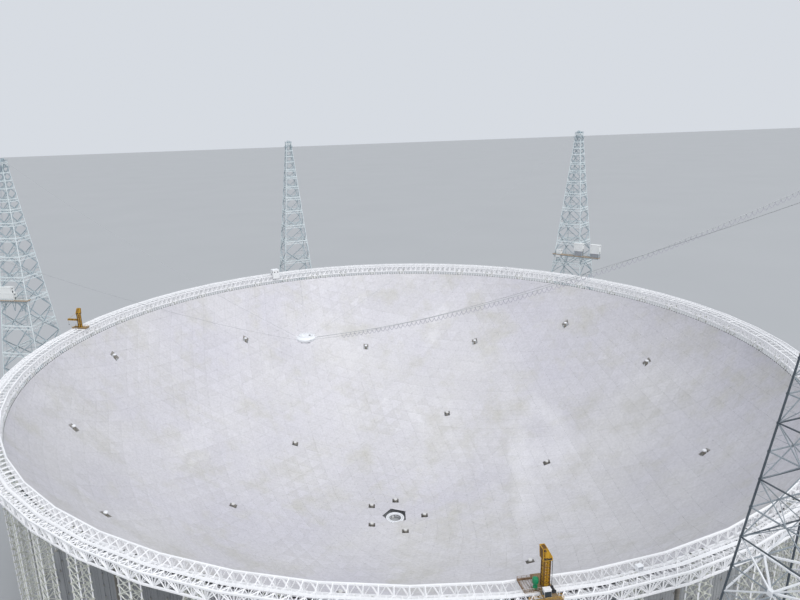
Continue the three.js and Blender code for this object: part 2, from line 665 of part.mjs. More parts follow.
function mast(withArm) {
  const bottom = MAST_DECK.thickness + SEAT;
  const top = MAST_HEIGHT + MAST_LEG_SIZE;
  const half = MAST_HALF_WIDTH;
  const corners = [[-half, -half], [half, -half], [half, half], [-half, half]];
  const pieces = [];
  for (const [x, y] of corners) {
    const legCentre = new THREE.Vector3(x, y, (top + bottom) / 2);
    pieces.push(box(MAST_LEG_SIZE, MAST_LEG_SIZE, top - bottom, legCentre));
  }
  for (const level of MAST_LEVELS) {
    corners.forEach((corner, i) => {
      const start = new THREE.Vector3(...corner, level);
      const end = new THREE.Vector3(...corners[(i + 1) % corners.length], level);
      pieces.push(bar(start, end, MAST_RUNG_RADIUS, 3));
    });
  }
  pieces.push(mastHead());
  if (withArm) {
    const start = half - MAST_LEG_SIZE / 2;
    const armCentre = new THREE.Vector3(start + MAST_ARM.length / 2, half, MAST_ARM.level + MAST_ARM.size);
    pieces.push(box(MAST_ARM.length, MAST_ARM.size, MAST_ARM.size, armCentre));
  }
  return fuse(pieces);
}

function cab() {
  const bottom = MAST_DECK.thickness + SEAT;
  const outline = new THREE.Shape([
    new THREE.Vector2(0, 0), new THREE.Vector2(CAB.length, 0),
    new THREE.Vector2(CAB.length - CAB.slope, CAB.height), new THREE.Vector2(0, CAB.height),
  ]);
  const geometry = new THREE.ExtrudeGeometry(outline, { depth: CAB.width, bevelEnabled: false });
  geometry.rotateX(Math.PI / 2);
  geometry.translate(CAB_PLACE.x - CAB.length / 2, CAB_PLACE.y + CAB.width / 2, bottom);
  return solidOf(geometry);
}

function tank() {
  const bottom = WING_THICKNESS + SEAT;
  const geometry = uprightPrism(TANK.radius, TANK.sides, 0, bottom, bottom + TANK.height);
  return solidOf(geometry.translate(TANK.x, TANK.y, 0));
}

function hoistingMasts() {
  const group = new THREE.Group();
  const sets = [
    { hoist_deck_1: [mastDeck(MAST_WINGS), 'deck'], hoist_mast_1: [mast(false), 'crane'],
      hoist_cab_1: [cab(), 'cabin'], hoist_tank_1: [tank(), 'tank'] },
    { hoist_deck_2: [mastDeck([]), 'deck'], hoist_mast_2: [mast(true), 'crane'] },
  ];
  sets.forEach((set, i) => {
    const place = new THREE.Group();
    place.position.copy(polar(MAST_RING_RADIUS, MAST_AZIMUTHS[i], RING_TOP + SEAT));
    place.rotation.z = MAST_AZIMUTHS[i];
    for (const [name, [solid, look]] of Object.entries(set)) {
      place.add(named(name, geometryOf(solid), look));
    }
    group.add(place);
  });
  return group;
}

const telescope = new THREE.Group();
telescope.add(reflector(), ring(), towers(), feedCabin(), dockingRing(), pillars());
telescope.add(ringCabin(), hoistingMasts());

export default telescope;
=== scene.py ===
import math

import bpy
import numpy as np
from mathutils import Matrix, Vector


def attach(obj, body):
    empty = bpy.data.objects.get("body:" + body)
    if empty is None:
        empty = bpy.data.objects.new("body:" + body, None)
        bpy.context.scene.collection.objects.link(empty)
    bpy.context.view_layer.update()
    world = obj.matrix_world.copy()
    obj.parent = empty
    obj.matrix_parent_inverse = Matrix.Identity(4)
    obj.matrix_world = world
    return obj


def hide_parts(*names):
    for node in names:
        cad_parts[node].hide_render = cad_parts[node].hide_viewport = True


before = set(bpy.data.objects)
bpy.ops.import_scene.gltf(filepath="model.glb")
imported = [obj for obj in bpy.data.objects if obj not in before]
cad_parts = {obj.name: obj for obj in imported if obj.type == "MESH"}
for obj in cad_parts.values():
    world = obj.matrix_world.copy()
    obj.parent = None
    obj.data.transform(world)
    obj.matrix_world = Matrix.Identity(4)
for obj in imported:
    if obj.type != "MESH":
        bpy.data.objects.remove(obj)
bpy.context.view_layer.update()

# Lengths below are full-size metres; the model is 1:20.
SCALE = 0.05
SEED = 20
# Gap between a piece and what it stands on
SEAT = 0.006

# Levels above the floor
RING_TOP = 146.5
RING_DEPTH = 5.5
RING_BOTTOM = RING_TOP - RING_DEPTH

# Reflector: panels on a net of triangles over a sphere, with groups of panels of like tone
SPHERE_RADIUS = 300.0
SPHERE_CENTRE = np.array([0.0, 0.0, RING_TOP + 158.7])
SECTORS = 5
NET_FREQUENCY = 30
NET_AZIMUTH = math.radians(36.5)
RIM_RADIUS = 249.15
CENTRE_HOLE_RADIUS = 9.9
PANEL_THICKNESS = 0.22
PANEL_SEAM = 0.05
SHEETS_PER_PANEL_SIDE = 10.0
GROUP_ROWS = 4
GROUP_SPREAD = 0.22
PANEL_SPREAD = 0.15

# Cable net below the panels, and its ties down to anchors
NET_OFFSET = 1.1
NET_CABLE = 0.1
NET_NODE = 0.5
NET_MARGIN = 0.3
TIE_CABLE = 0.07
TIE_FOOT = 1.6
ANCHOR_TUBE = 0.35
ANCHOR_TUBE_LEVELS = (0.5, 1.9)
ANCHOR_BLOCK = (1.0, 1.0, 0.6)

# Ring girder and columns
COLUMNS_PER_SECTOR = 10
COLUMN_PITCH = math.radians(7.2)
HALF_PITCH = COLUMN_PITCH / 2
FIRST_COLUMN_AZIMUTH = math.radians(-92.6)
CHORD_RADII = (250.0, 255.0, 261.0)
CHORD_SIZE = 0.7
COLUMN_HALF_WIDTH = 3.1
COLUMN_PANELS = 35
COLUMN_FOOT = 0.3
BAYS = 6
BAY_ANGLES = [COLUMN_PITCH * (bay / BAYS - 0.5) for bay in range(BAYS + 1)]

# The reflector's rim: its straight steps, the black channel along it, which is painted shade for the gap
# between rim and girder, and its ties to the ring
RIM_STEP = COLUMN_PITCH / 8
SHADOW_GAP_CHANNEL = 0.42
RIM_CABLE = 0.3
RIM_TIE = 0.2
TIES_PER_COLUMN = 12

# Cable towers: azimuth in degrees and a deck; levels are above the girder's top
# A deck is turned from the side that faces the reflector
# Each house is (place along the deck, length, height, rise above the deck, whether it has a plinth)
TOWER_RADIUS = 300.0
TOWER_LEG_TOP = RING_TOP + 132.6
TOWER_HEAD_HEIGHT = 1.6
TOWER_TOP_HALF_WIDTH = 2.6
TOWER_FOOT_HALF_WIDTH = 27.6
THREE_HOUSES = [(8.5, 4.5, 7.5, -3, False), (-12, 8.5, 7.5, 5, True), (-28.5, 9, 8.5, 4, True)]
STEPPED_HOUSE = [(5, 13, 5.5, 0, False), (5, 10, 5, 5.2, False)]
HIGH_DECK = {"turn": 0, "level": 14, "from": -33, "to": 14.5, "houses": THREE_HOUSES}
LOW_DECK = {"turn": 0, "level": -24, "from": -33, "to": 17.5, "houses": THREE_HOUSES}
SIDE_DECK = {"turn": -90, "level": 27, "from": -13.5, "to": 13.5, "houses": STEPPED_HOUSE}
TOWERS = [
    (51.1, HIGH_DECK), (111.1, LOW_DECK), (170.4, SIDE_DECK),
    (231.1, HIGH_DECK), (291.8, LOW_DECK), (351.1, HIGH_DECK),
]
# Levels of the rings of bars, and on the near tower of its single struts
BAR_LEVELS = (125, 119, 113.2, 105, 97.2, 86.8, 75.2, 60.6, 44.6, 27, 5.5, -17, -42, -66, -92, -119)
NEAR_LEVELS = (125, 118, 110, 101, 90, 80, 63, 45.5, 26, 8, -14, -36, -60, -86, -114)
NEAR_STRUTS = (71.5, 54.4, 35.6)
NEAR_TOWER = 5
LADEN_TOWER = 6

# Feed cabin and the cables that hold it
CABIN_CENTRE = np.array([-58.4, -20.7, RING_TOP + 11.0])
CABLE_SAG = 6.0
LADEN_CABLE_SAG = 19.0
CABLE_START_RADIUS = 7.6
CABLE_START_RISE = 1.0
CABLE_END_REACH = 2.6
SOCKET_LENGTH = 2.4
SOCKET_SIZE = 0.6

# Pillars that come up through the reflector: [distance from the axis, azimuth in degrees]
PILLAR_OPENING = 5.0
PILLARS = {
    "inner": [[19.5, 88.3], [21.6, 147.4], [21.8, 216.3], [21.9, 289.7], [22.5, 358.4]],
    "middle": [[125, 14.9], [128.8, 67.1], [113.8, 139.5], [121.2, 192.5], [120, 254], [118.8, 314.7]],
    "outer": [
        [219.6, 19.3], [225.8, 43.6], [200.7, 65.6], [192.9, 97.9], [215, 132], [235.5, 166.9],
        [223, 192.2], [205.4, 216.1], [215, 243], [215, 274], [215, 308], [204.7, 346.1],
    ],
}
# Directions of an opening's four sides
QUARTERS = ((1, 0), (-1, 0), (0, 1), (0, -1))

# The photograph's camera, from a fit to the rim, the ring and the towers
CAMERA_DISTANCE = 435.743
CAMERA_RISE = 151.847
CAMERA_PAN = math.radians(-4.355)
CAMERA_PITCH = math.radians(15.345)
CAMERA_ROLL = math.radians(-2.282)
FOCAL_PIXELS = 644.166
AXIS_PIXELS_LEFT = 56.475
IMAGE_WIDTH = 800
SENSOR_WIDTH = 36.0

FLOOR_SIZE = 900.0
SKY = (0.80, 0.84, 0.90, 1.0)
SKY_STRENGTH = 0.85
SUN_STRENGTH = 1.6
SUN_SPREAD = math.radians(40)
SUN_TILT = (math.radians(38), math.radians(-14), math.radians(44))


def around(count):
    """Angles of even steps round a circle."""
    return np.arange(count) * 2 * math.pi / count


def circle(radius, angles, z=0.0, centre=(0.0, 0.0)):
    """Points at these angles round an upright axis."""
    angles = np.asarray(angles, float)
    x = centre[0] + radius * np.cos(angles)
    y = centre[1] + radius * np.sin(angles)
    return np.column_stack([x, y, np.full(len(angles), z)])


def square(half, z):
    """Corners of a level square, anticlockwise."""
    return np.array([(-half, -half, z), (half, -half, z), (half, half, z), (-half, half, z)])


def placed(points, azimuth, distance=0.0, height=0.0):
    """Points, set out with X outwards, moved out and up and turned about the axis."""
    cos, sin = math.cos(azimuth), math.sin(azimuth)
    turn = np.array([(cos, sin, 0.0), (-sin, cos, 0.0), (0.0, 0.0, 1.0)])
    return (np.asarray(points, float) + (distance, 0.0, height)) @ turn


class Solids:
    """Closed bars, blocks and plates that become one mesh."""

    def __init__(self, look=0):
        self.points = []
        self.faces = []
        self.looks = []
        self.count = 0
        self.look = look

    def add(self, points, *faces):
        points = np.reshape(points, (-1, 3))
        self.points.append(points)
        for group in faces:
            self.faces.append(np.asarray(group, int) + self.count)
            self.looks.append(self.look)
        self.count += len(points)

    def bars(self, starts, ends, size, sides=3):
        """Straight bars; size is the distance across the flats, or the bar's width."""
        starts = np.reshape(starts, (-1, 3)).astype(float)
        ends = np.reshape(ends, (-1, 3)).astype(float)
        along = ends - starts
        along /= np.linalg.norm(along, axis=1, keepdims=True)
        upright = np.abs(along[:, 2:3]) > 0.99
        helper = np.where(upright, (1.0, 0.0, 0.0), (0.0, 0.0, 1.0))
        across = np.cross(along, helper)
        across /= np.linalg.norm(across, axis=1, keepdims=True)
        other = np.cross(along, across)
        radius = size / 2 / math.cos(math.pi / sides) if sides > 3 else size / math.sqrt(3)
        angles = (around(sides) + math.pi / sides)[:, None]
        ring = (across[:, None] * np.cos(angles) + other[:, None] * np.sin(angles)) * radius
        points = np.concatenate([starts[:, None] + ring, ends[:, None] + ring], axis=1)
        base = np.arange(len(starts))[:, None] * 2 * sides
        k = np.arange(sides)
        after = (k + 1) % sides
        walls = np.stack([base + k, base + after, base + after + sides, base + k + sides], axis=2)
        self.add(points, walls.reshape(-1, 4), base + k[::-1], base + k + sides)

    def chain(self, points, size, sides=3):
        """Bars from each point to the next."""
        self.bars(points[:-1], points[1:], size, sides)

    def loop(self, points, size, sides=3):
        """Bars from each point to the next, and back to the first."""
        self.bars(points, np.roll(points, -1, axis=0), size, sides)

    def handrail(self, start, end, shares, heights, size, sides=4):
        """Posts at these shares of a straight line, and a rail at each height."""
        start, end = np.array(start), np.array(end)
        feet = start + (end - start) * np.reshape(shares, (-1, 1))
        self.bars(feet, feet + (0, 0, heights[-1]), size, sides)
        for height in heights:
            self.bars(start + (0, 0, height), end + (0, 0, height), size, sides)

    def blocks(self, centres, sizes, azimuths=0.0):
        """Boxes turned about the upright axis."""
        centres = np.reshape(centres, (-1, 3))
        signs = np.array([(x, y, z) for z in (-1, 1) for y in (-1, 1) for x in (-1, 1)]) / 2
        x, y, z = np.moveaxis(signs * np.reshape(sizes, (-1, 1, 3)), 2, 0)
        azimuths = np.reshape(azimuths, (-1, 1))
        cos, sin = np.cos(azimuths), np.sin(azimuths)
        turned = np.stack(np.broadcast_arrays(x * cos - y * sin, x * sin + y * cos, z), axis=2)
        sides = [(0, 2, 3, 1), (4, 5, 7, 6), (0, 1, 5, 4), (2, 6, 7, 3), (0, 4, 6, 2), (1, 3, 7, 5)]
        base = np.arange(len(centres))[:, None, None] * 8
        self.add(turned + centres[:, None], (base + np.array(sides)).reshape(-1, 4))

    def loft(self, rings, closed=False):
        """Skin over rings of points, each anticlockwise seen from the next one."""
        rings = np.asarray(rings, float)
        count, sides = rings.shape[:2]
        k = np.arange(sides)
        after = (k + 1) % sides
        walls = []
        for row in range(count if closed else count - 1):
            low, high = row * sides, (row + 1) % count * sides
            walls.append(np.stack([low + k, low + after, high + after, high + k], axis=1))
        caps = [] if closed else [k[None, ::-1], k[None] + (count - 1) * sides]
        self.add(rings, np.concatenate(walls), *caps)

    def lathe(self, profile, sides, centre=(0.0, 0.0, 0.0), closed=False):
        """Profile of (radius, height) turned round an upright axis, from the bottom to the top."""
        rings = [circle(radius, around(sides), height) for radius, height in profile]
        self.loft(np.array(rings) + centre, closed)

    def slab(self, outline, reach):
        """Flat outline of points, anticlockwise seen from where reach leads, and its copy there."""
        self.loft([outline, np.add(outline, reach)])

    def join(self, other, azimuth=0.0, distance=0.0, height=0.0):
        """Adds another set, built with X outwards, at a place on a circle round the axis."""
        self.points += [placed(points, azimuth, distance, height) for points in other.points]
        self.faces += [faces + self.count for faces in other.faces]
        self.looks += other.looks
        self.count += other.count


def make_piece(name, solids, materials, slot, replaced=(), round_edges=False):
    """One mesh object from a set of solids, riding on the fixed body."""
    totals = np.concatenate([np.full(len(faces), faces.shape[1]) for faces in solids.faces])
    corners = np.concatenate([faces.ravel() for faces in solids.faces])
    mesh = bpy.data.meshes.new(name)
    mesh.vertices.add(solids.count)
    mesh.vertices.foreach_set("co", np.concatenate(solids.points).ravel() * SCALE)
    mesh.loops.add(len(corners))
    mesh.loops.foreach_set("vertex_index", corners)
    mesh.polygons.add(len(totals))
    mesh.polygons.foreach_set("loop_start", np.cumsum(totals) - totals)
    mesh.polygons.foreach_set("material_index", np.repeat(solids.looks, [len(f) for f in solids.faces]))
    mesh.update(calc_edges=True)
    if round_edges:
        mesh.shade_smooth()
        mesh.set_sharp_from_angle(angle=math.radians(35))
    else:
        mesh.shade_flat()
    for material in materials:
        mesh.materials.append(material)
    piece = bpy.data.objects.new(name, mesh)
    bpy.context.scene.collection.objects.link(piece)
    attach(piece, "root")
    if replaced:
        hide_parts(*replaced)
    return piece


def place_pieces(pieces, azimuth, distance=0.0, height=0.0):
    """Makes each named piece from sets that are built with X outwards, at one place round the axis."""
    for name, (parts, *finish) in pieces.items():
        whole = Solids()
        for part in parts:
            whole.join(part, azimuth, distance, height)
        make_piece(name, whole, *finish)


class Shader:
    """A principled material with short calls for its nodes."""

    def __init__(self, name, roughness, metallic=0.0):
        self.material = bpy.data.materials.new(name)
        self.material.use_nodes = True
        self.tree = self.material.node_tree
        self.surface = self.tree.nodes["Principled BSDF"]
        self.connect(self.surface, {"Roughness": roughness, "Metallic": metallic})
        self.place = self.node("TexCoord").outputs["Object"]

    def connect(self, node, inputs):
        """Sets inputs to numbers, colours or the outputs of other nodes."""
        for key, value in inputs.items():
            socket = node.inputs[key]
            if isinstance(value, bpy.types.NodeSocket):
                self.tree.links.new(value, socket)
            else:
                socket.default_value = (*value, 1.0) if socket.type == "RGBA" else value

    def node(self, kind, inputs=None, **settings):
        node = self.tree.nodes.new("ShaderNode" + kind)
        for key, value in settings.items():
            setattr(node, key, value)
        self.connect(node, inputs or {})
        return node

    def math(self, operation, *values):
        return self.node("Math", dict(enumerate(values)), operation=operation).outputs[0]

    def stretched(self, *scale):
        return self.node("Mapping", {"Vector": self.place, "Scale": scale}).outputs[0]

    def noise(self, size, detail=4.0, roughness=0.55, vector=None):
        """Noise with lumps of about this size in full-size metres."""
        inputs = {"Scale": 1 / (size * SCALE), "Detail": detail, "Roughness": roughness}
        return self.node("TexNoise", {"Vector": vector or self.place, **inputs}).outputs["Fac"]

    def bands(self, size, direction):
        """Bands of about this width in full-size metres."""
        inputs = {"Vector": self.place, "Scale": 1 / (size * SCALE)}
        return self.node("TexWave", inputs, bands_direction=direction).outputs["Fac"]

    def ramp(self, value, low, high):
        """0 below low, 1 above high, straight between."""
        return self.node("MapRange", {"Value": value, "From Min": low, "From Max": high}).outputs["Result"]

    def mix(self, factor, first, second, blend="MIX"):
        inputs = {0: factor, 6: first, 7: second}
        return self.node("Mix", inputs, data_type="RGBA", blend_type=blend).outputs[2]

    def finish(self, colour, rough=None, relief=None, depth=0.0):
        """The material, with its colour and roughness, and relief of about this depth in metres."""
        self.connect(self.surface, {"Base Color": colour})
        if rough is not None:
            self.connect(self.surface, {"Roughness": rough})
        if relief is not None:
            bump = self.node("Bump", {"Distance": depth * SCALE, "Height": relief})
            self.connect(self.surface, {"Normal": bump.outputs[0]})
        return self.material


def shade(colour, share):
    return tuple(share * channel for channel in colour)


def painted_steel(name, paint, dirt_and_shade, roughness=0.5, metallic=0.1, dirt_and_shade_from=0.58):
    """Paint with cloudy fading, run-down grime, which on the hoists is partly painted shade, and a little
    orange peel.
    """
    shader = Shader(name, roughness, metallic)
    streaks = shader.noise(1.2, 5.0, 0.6, shader.stretched(1.0, 1.0, 0.12))
    clouds = shader.noise(9.0)
    soiled_and_shaded = shader.ramp(shader.math("MULTIPLY_ADD", clouds, 0.35, streaks), dirt_and_shade_from + 0.15, 1.0)
    faded = shader.mix(shader.ramp(clouds, 0.3, 0.7), shade(paint, 0.93), paint)
    rough = shader.math("MULTIPLY_ADD", streaks, 0.25, roughness - 0.1)
    return shader.finish(shader.mix(soiled_and_shaded, faded, dirt_and_shade), rough, shader.noise(0.25, 3.0), 0.01)


def panel_aluminium():
    """Perforated sheet in small triangles, with a tone of its own on each panel."""
    shader = Shader("reflector_sheet", 0.6, 0.08)
    uv = shader.node("UVMap", uv_map="net").outputs[0]
    parts = shader.node("SeparateXYZ", {0: uv})
    first, second = parts.outputs["X"], parts.outputs["Y"]
    third = shader.math("SUBTRACT", shader.math("SUBTRACT", SHEETS_PER_PANEL_SIDE, first), second)
    away = [shader.math("PINGPONG", part, 0.5) for part in (first, second, third)]
    nearest = shader.math("MINIMUM", shader.math("MINIMUM", away[0], away[1]), away[2])
    seam = shader.math("SUBTRACT", 1.0, shader.ramp(nearest, 0.015, 0.06))
    tone = shader.node("Attribute", attribute_name="tone").outputs["Fac"]
    clouds = shader.noise(95.0, 3.0, 0.5)
    patches = shader.noise(28.0, 5.0, 0.6)
    marks = shader.noise(60.0, 4.0, 0.55, shader.stretched(1.0, 0.35, 1.0))
    grain = shader.noise(1.8, 7.0, 0.8)
    pale = shader.mix(shader.ramp(clouds, 0.35, 0.68), (0.63, 0.615, 0.655), (0.70, 0.685, 0.69))
    stained = shader.mix(shader.ramp(patches, 0.5, 0.75), pale, (0.60, 0.585, 0.55))
    streaked = shader.mix(shader.ramp(marks, 0.62, 0.8), stained, (0.82, 0.805, 0.82))
    tones = shader.mix(tone, (0.955, 0.955, 0.95), (1.03, 1.03, 1.04))
    toned = shader.mix(1.0, streaked, tones, "MULTIPLY")
    speckle = shader.mix(shader.ramp(grain, 0.35, 0.65), (0.86, 0.86, 0.86), (1.06, 1.06, 1.06))
    grained = shader.mix(1.0, toned, speckle, "MULTIPLY")
    colour = shader.mix(shader.math("MULTIPLY", seam, 0.1), grained, (0.4, 0.4, 0.41))
    rough = shader.math("MULTIPLY_ADD", patches, 0.2, 0.55)
    return shader.finish(colour, rough, shader.math("MULTIPLY_ADD", seam, -0.4, grain), 0.02)


def galvanised(name, dark, light, flecks, metallic):
    """Zinc coating with pale and dark spangle and faint run marks."""
    shader = Shader(name, 0.45, metallic)
    cells = shader.node("TexVoronoi", {"Vector": shader.place, "Scale": 1 / (0.5 * SCALE)})
    spangle = shader.math("MULTIPLY", cells.outputs["Distance"], 0.5)
    base = shader.mix(shader.ramp(shader.noise(12.0), 0.3, 0.7), dark, light)
    runs = shader.noise(0.9, 4.0, 0.6, shader.stretched(1.0, 1.0, 0.1))
    streaked = shader.mix(shader.ramp(runs, 0.62, 0.85), base, shade(dark, 0.72))
    rough = shader.math("MULTIPLY_ADD", spangle, 0.4, 0.32)
    return shader.finish(shader.mix(spangle, streaked, flecks), rough, shader.noise(0.3, 3.0), 0.008)


def stranded_cable(name, dark, light, metallic):
    """Twisted wires, drawn as fine slanted bands."""
    shader = Shader(name, 0.45, metallic)
    wires = shader.bands(0.12, "DIAGONAL")
    return shader.finish(shader.mix(wires, dark, light), None, wires, 0.02)


def concrete(name, dark, light):
    """Bare concrete with mottling, pour lines and pinholes."""
    shader = Shader(name, 0.9)
    base = shader.mix(shader.ramp(shader.noise(1.6, 6.0, 0.65), 0.3, 0.72), dark, light)
    pours = shader.noise(2.4, 1.0, 0.4, shader.stretched(0.05, 0.05, 1.0))
    colour = shader.mix(shader.ramp(pours, 0.5, 0.62), base, shade(dark, 1.15))
    return shader.finish(colour, None, shader.noise(0.18, 5.0, 0.7), 0.02)


def boards(name, dark, light):
    """Planks with grain along Y and dark gaps between them."""
    shader = Shader(name, 0.85)
    grain = shader.noise(0.5, 6.0, 0.7, shader.stretched(3.0, 3.0, 1.0))
    gap = shader.math("SUBTRACT", 1.0, shader.ramp(shader.bands(0.9, "X"), 0.04, 0.16))
    wood = shader.mix(shader.ramp(grain, 0.3, 0.7), dark, light)
    colour = shader.mix(gap, wood, shade(dark, 0.3))
    return shader.finish(colour, None, shader.math("MULTIPLY_ADD", gap, -1.0, grain), 0.02)


def dark_glass():
    """Smeared panes with a dark room behind them."""
    shader = Shader("dark_glass", 0.12)
    smears = shader.noise(0.8, 3.0)
    colour = shader.mix(smears, (0.015, 0.02, 0.025), (0.05, 0.065, 0.075))
    return shader.finish(colour, shader.math("MULTIPLY_ADD", smears, 0.2, 0.04))


def black_coating():
    """Nearly black coating, rubbed paler in places."""
    shader = Shader("black_skirt", 0.7)
    wear = shader.noise(0.6, 5.0)
    colour = shader.mix(shader.ramp(wear, 0.45, 0.75), (0.02, 0.02, 0.024), (0.09, 0.09, 0.095))
    return shader.finish(colour, None, wear, 0.01)


SHEET = panel_aluminium()
GLASS = dark_glass()
BLACK = black_coating()

# Zinc: dark and light coating, pale flecks
ZINC = galvanised("galvanised_steel", (0.27, 0.34, 0.38), (0.40, 0.48, 0.52), (0.58, 0.66, 0.69), 0.25)
PALE_ZINC = galvanised("bright_steel", (0.60, 0.68, 0.70), (0.76, 0.82, 0.83), (0.88, 0.92, 0.92), 0.15)
# Painted shade: the near tower's legs, darker than the same zinc elsewhere because their side towards the
# view is in shadow
PAINTED_SHADE_ZINC = galvanised(
    "painted_shade_steel", (0.045, 0.058, 0.075), (0.085, 0.105, 0.125), (0.16, 0.19, 0.21), 0.3)
# Painted shade, lighter: the near tower's bracing, the same zinc in half shadow
MID_ZINC = galvanised("shaded_steel", (0.22, 0.25, 0.28), (0.34, 0.38, 0.41), (0.5, 0.55, 0.58), 0.3)

# Paint: its own colour and that of its grime; the grime of the hoists' yellow is partly painted shade, and
# the mast body's colours are all painted shade
RING_WHITE = painted_steel("ring_white", (0.97, 0.965, 0.975), (0.70, 0.69, 0.66), 0.5, 0.0, 0.7)
COLUMN_WHITE = painted_steel("column_white", (0.74, 0.75, 0.68), (0.42, 0.42, 0.34), dirt_and_shade_from=0.5)
WHITE = painted_steel("house_white", (0.86, 0.87, 0.86), (0.55, 0.53, 0.48), dirt_and_shade_from=0.65)
CLEAN_WHITE = painted_steel("clean_white", (0.93, 0.94, 0.96), (0.66, 0.66, 0.64), 0.4, dirt_and_shade_from=0.72)
PILLAR_WHITE = painted_steel("pillar_head", (0.74, 0.735, 0.72), (0.46, 0.44, 0.40), 0.6)
SHADED_GREY = painted_steel("shaded_grey", (0.42, 0.43, 0.46), (0.22, 0.22, 0.22))
OPENING_GREY = painted_steel("opening_frame", (0.50, 0.48, 0.45), (0.28, 0.26, 0.24), 0.8)
LILAC = painted_steel("lilac_sheath", (0.46, 0.45, 0.51), (0.32, 0.32, 0.36), 0.6)
# Its heavy brown grime is partly real soiling and partly painted shade among the lattice bars
YELLOW = painted_steel("worn_and_shaded_yellow", (0.95, 0.57, 0.035), (0.24, 0.09, 0.008), dirt_and_shade_from=0.2)
# Painted shade: the mast body in dark brown, for the deep shade inside its lattice
MAST_SHADE_BROWN = painted_steel("mast_painted_shade", (0.24, 0.12, 0.015), (0.07, 0.03, 0.006), 0.6, dirt_and_shade_from=0.25)
RUSTY = painted_steel("rusty_beams", (0.30, 0.20, 0.12), (0.12, 0.06, 0.03), 0.7, dirt_and_shade_from=0.4)
GREEN = painted_steel("tank_green", (0.012, 0.26, 0.11), (0.01, 0.07, 0.03), 0.35)

# Cables, concrete and boards: their dark and light colour
CABLE = stranded_cable("stranded_cable", (0.13, 0.14, 0.15), (0.34, 0.36, 0.38), 0.7)
PALE_CABLE = stranded_cable("pale_cable", (0.36, 0.37, 0.38), (0.60, 0.62, 0.62), 0.2)
CONCRETE = concrete("bare_concrete", (0.42, 0.40, 0.36), (0.66, 0.64, 0.59))
# Painted shade: dark concrete for the pillar shafts, standing for the shadow in the openings below the
# white heads
SHADED_CONCRETE = concrete("concrete_painted_shade", (0.20, 0.185, 0.16), (0.36, 0.34, 0.30))
BOARDS = boards("weathered_boards", (0.20, 0.13, 0.065), (0.42, 0.31, 0.18))
TAN_DECK = boards("tan_deck", (0.42, 0.31, 0.21), (0.62, 0.5, 0.38))


def camera():
    """Camera at the photograph's place; the small shift is the photograph's own framing."""
    flat = math.cos(CAMERA_PITCH)
    ahead = np.array([math.sin(CAMERA_PAN) * flat, math.cos(CAMERA_PAN) * flat, -math.sin(CAMERA_PITCH)])
    level = np.cross(ahead, (0.0, 0.0, 1.0))
    level /= np.linalg.norm(level)
    upright = np.cross(level, ahead)
    right = level * math.cos(CAMERA_ROLL) + upright * math.sin(CAMERA_ROLL)
    up = upright * math.cos(CAMERA_ROLL) - level * math.sin(CAMERA_ROLL)
    data = bpy.data.cameras.new("photo_camera")
    data.sensor_width = SENSOR_WIDTH
    data.lens = FOCAL_PIXELS / IMAGE_WIDTH * SENSOR_WIDTH
    data.shift_x = AXIS_PIXELS_LEFT / IMAGE_WIDTH
    data.clip_start = 0.1
    data.clip_end = 2000.0
    eye = Vector((0.0, -CAMERA_DISTANCE, RING_TOP + CAMERA_RISE)) * SCALE
    turn = Matrix(np.column_stack([right, up, -ahead]).tolist()).to_4x4()
    view = bpy.data.objects.new("photo_camera", data)
    view.matrix_world = Matrix.Translation(eye) @ turn
    bpy.context.scene.collection.objects.link(view)
    bpy.context.scene.camera = view


def studio():
    """Plain pale floor, even sky light, one wide soft lamp and a plain tone curve."""
    shader = Shader("studio_floor", 0.9)
    tint = shader.mix(shader.noise(220.0, 2.0), (0.41, 0.42, 0.43), (0.44, 0.45, 0.46))
    bpy.ops.mesh.primitive_plane_add(size=FLOOR_SIZE)
    floor = bpy.context.object
    floor.name = "studio_floor"
    floor.data.materials.append(shader.finish(tint))
    world = bpy.data.worlds.new("studio")
    world.use_nodes = True
    sky = world.node_tree.nodes["Background"]
    sky.inputs["Color"].default_value = SKY
    sky.inputs["Strength"].default_value = SKY_STRENGTH
    bpy.context.scene.world = world
    sun = bpy.data.lights.new("soft_lamp", "SUN")
    sun.energy = SUN_STRENGTH
    sun.angle = SUN_SPREAD
    lamp = bpy.data.objects.new("soft_lamp", sun)
    lamp.rotation_euler = SUN_TILT
    bpy.context.scene.collection.objects.link(lamp)
    bpy.context.scene.view_settings.view_transform = "Standard"


def dress_frame():
    """Materials of the CAD nodes that stay in view."""
    looks = {
        "ring_sector": RING_WHITE, "support_cable": PALE_CABLE, "ring_cabin": WHITE,
        # The mast's CAD body gets painted shade, brown as the shade inside the lattice
        "hoist_deck_2": BOARDS, "hoist_mast": MAST_SHADE_BROWN,
    }
    for name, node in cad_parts.items():
        for start, look in looks.items():
            if name.startswith(start):
                node.data.materials.clear()
                node.data.materials.append(look)


PILLAR_SPOTS = {
    f"{row}_pillar_{number}": circle(distance, [math.radians(azimuth)])[0, :2]
    for row, places in PILLARS.items()
    for number, (distance, azimuth) in enumerate(places, 1)
}


def sphere_height(x, y):
    return SPHERE_CENTRE[2] - math.sqrt(SPHERE_RADIUS ** 2 - x * x - y * y)


def pushed_out(points, reach):
    """Points moved straight away from the sphere's centre."""
    return SPHERE_CENTRE + (points - SPHERE_CENTRE) * (1 + reach / SPHERE_RADIUS)


def sector_azimuth(sector):
    return NET_AZIMUTH + (sector - 0.5) * 2 * math.pi / SECTORS


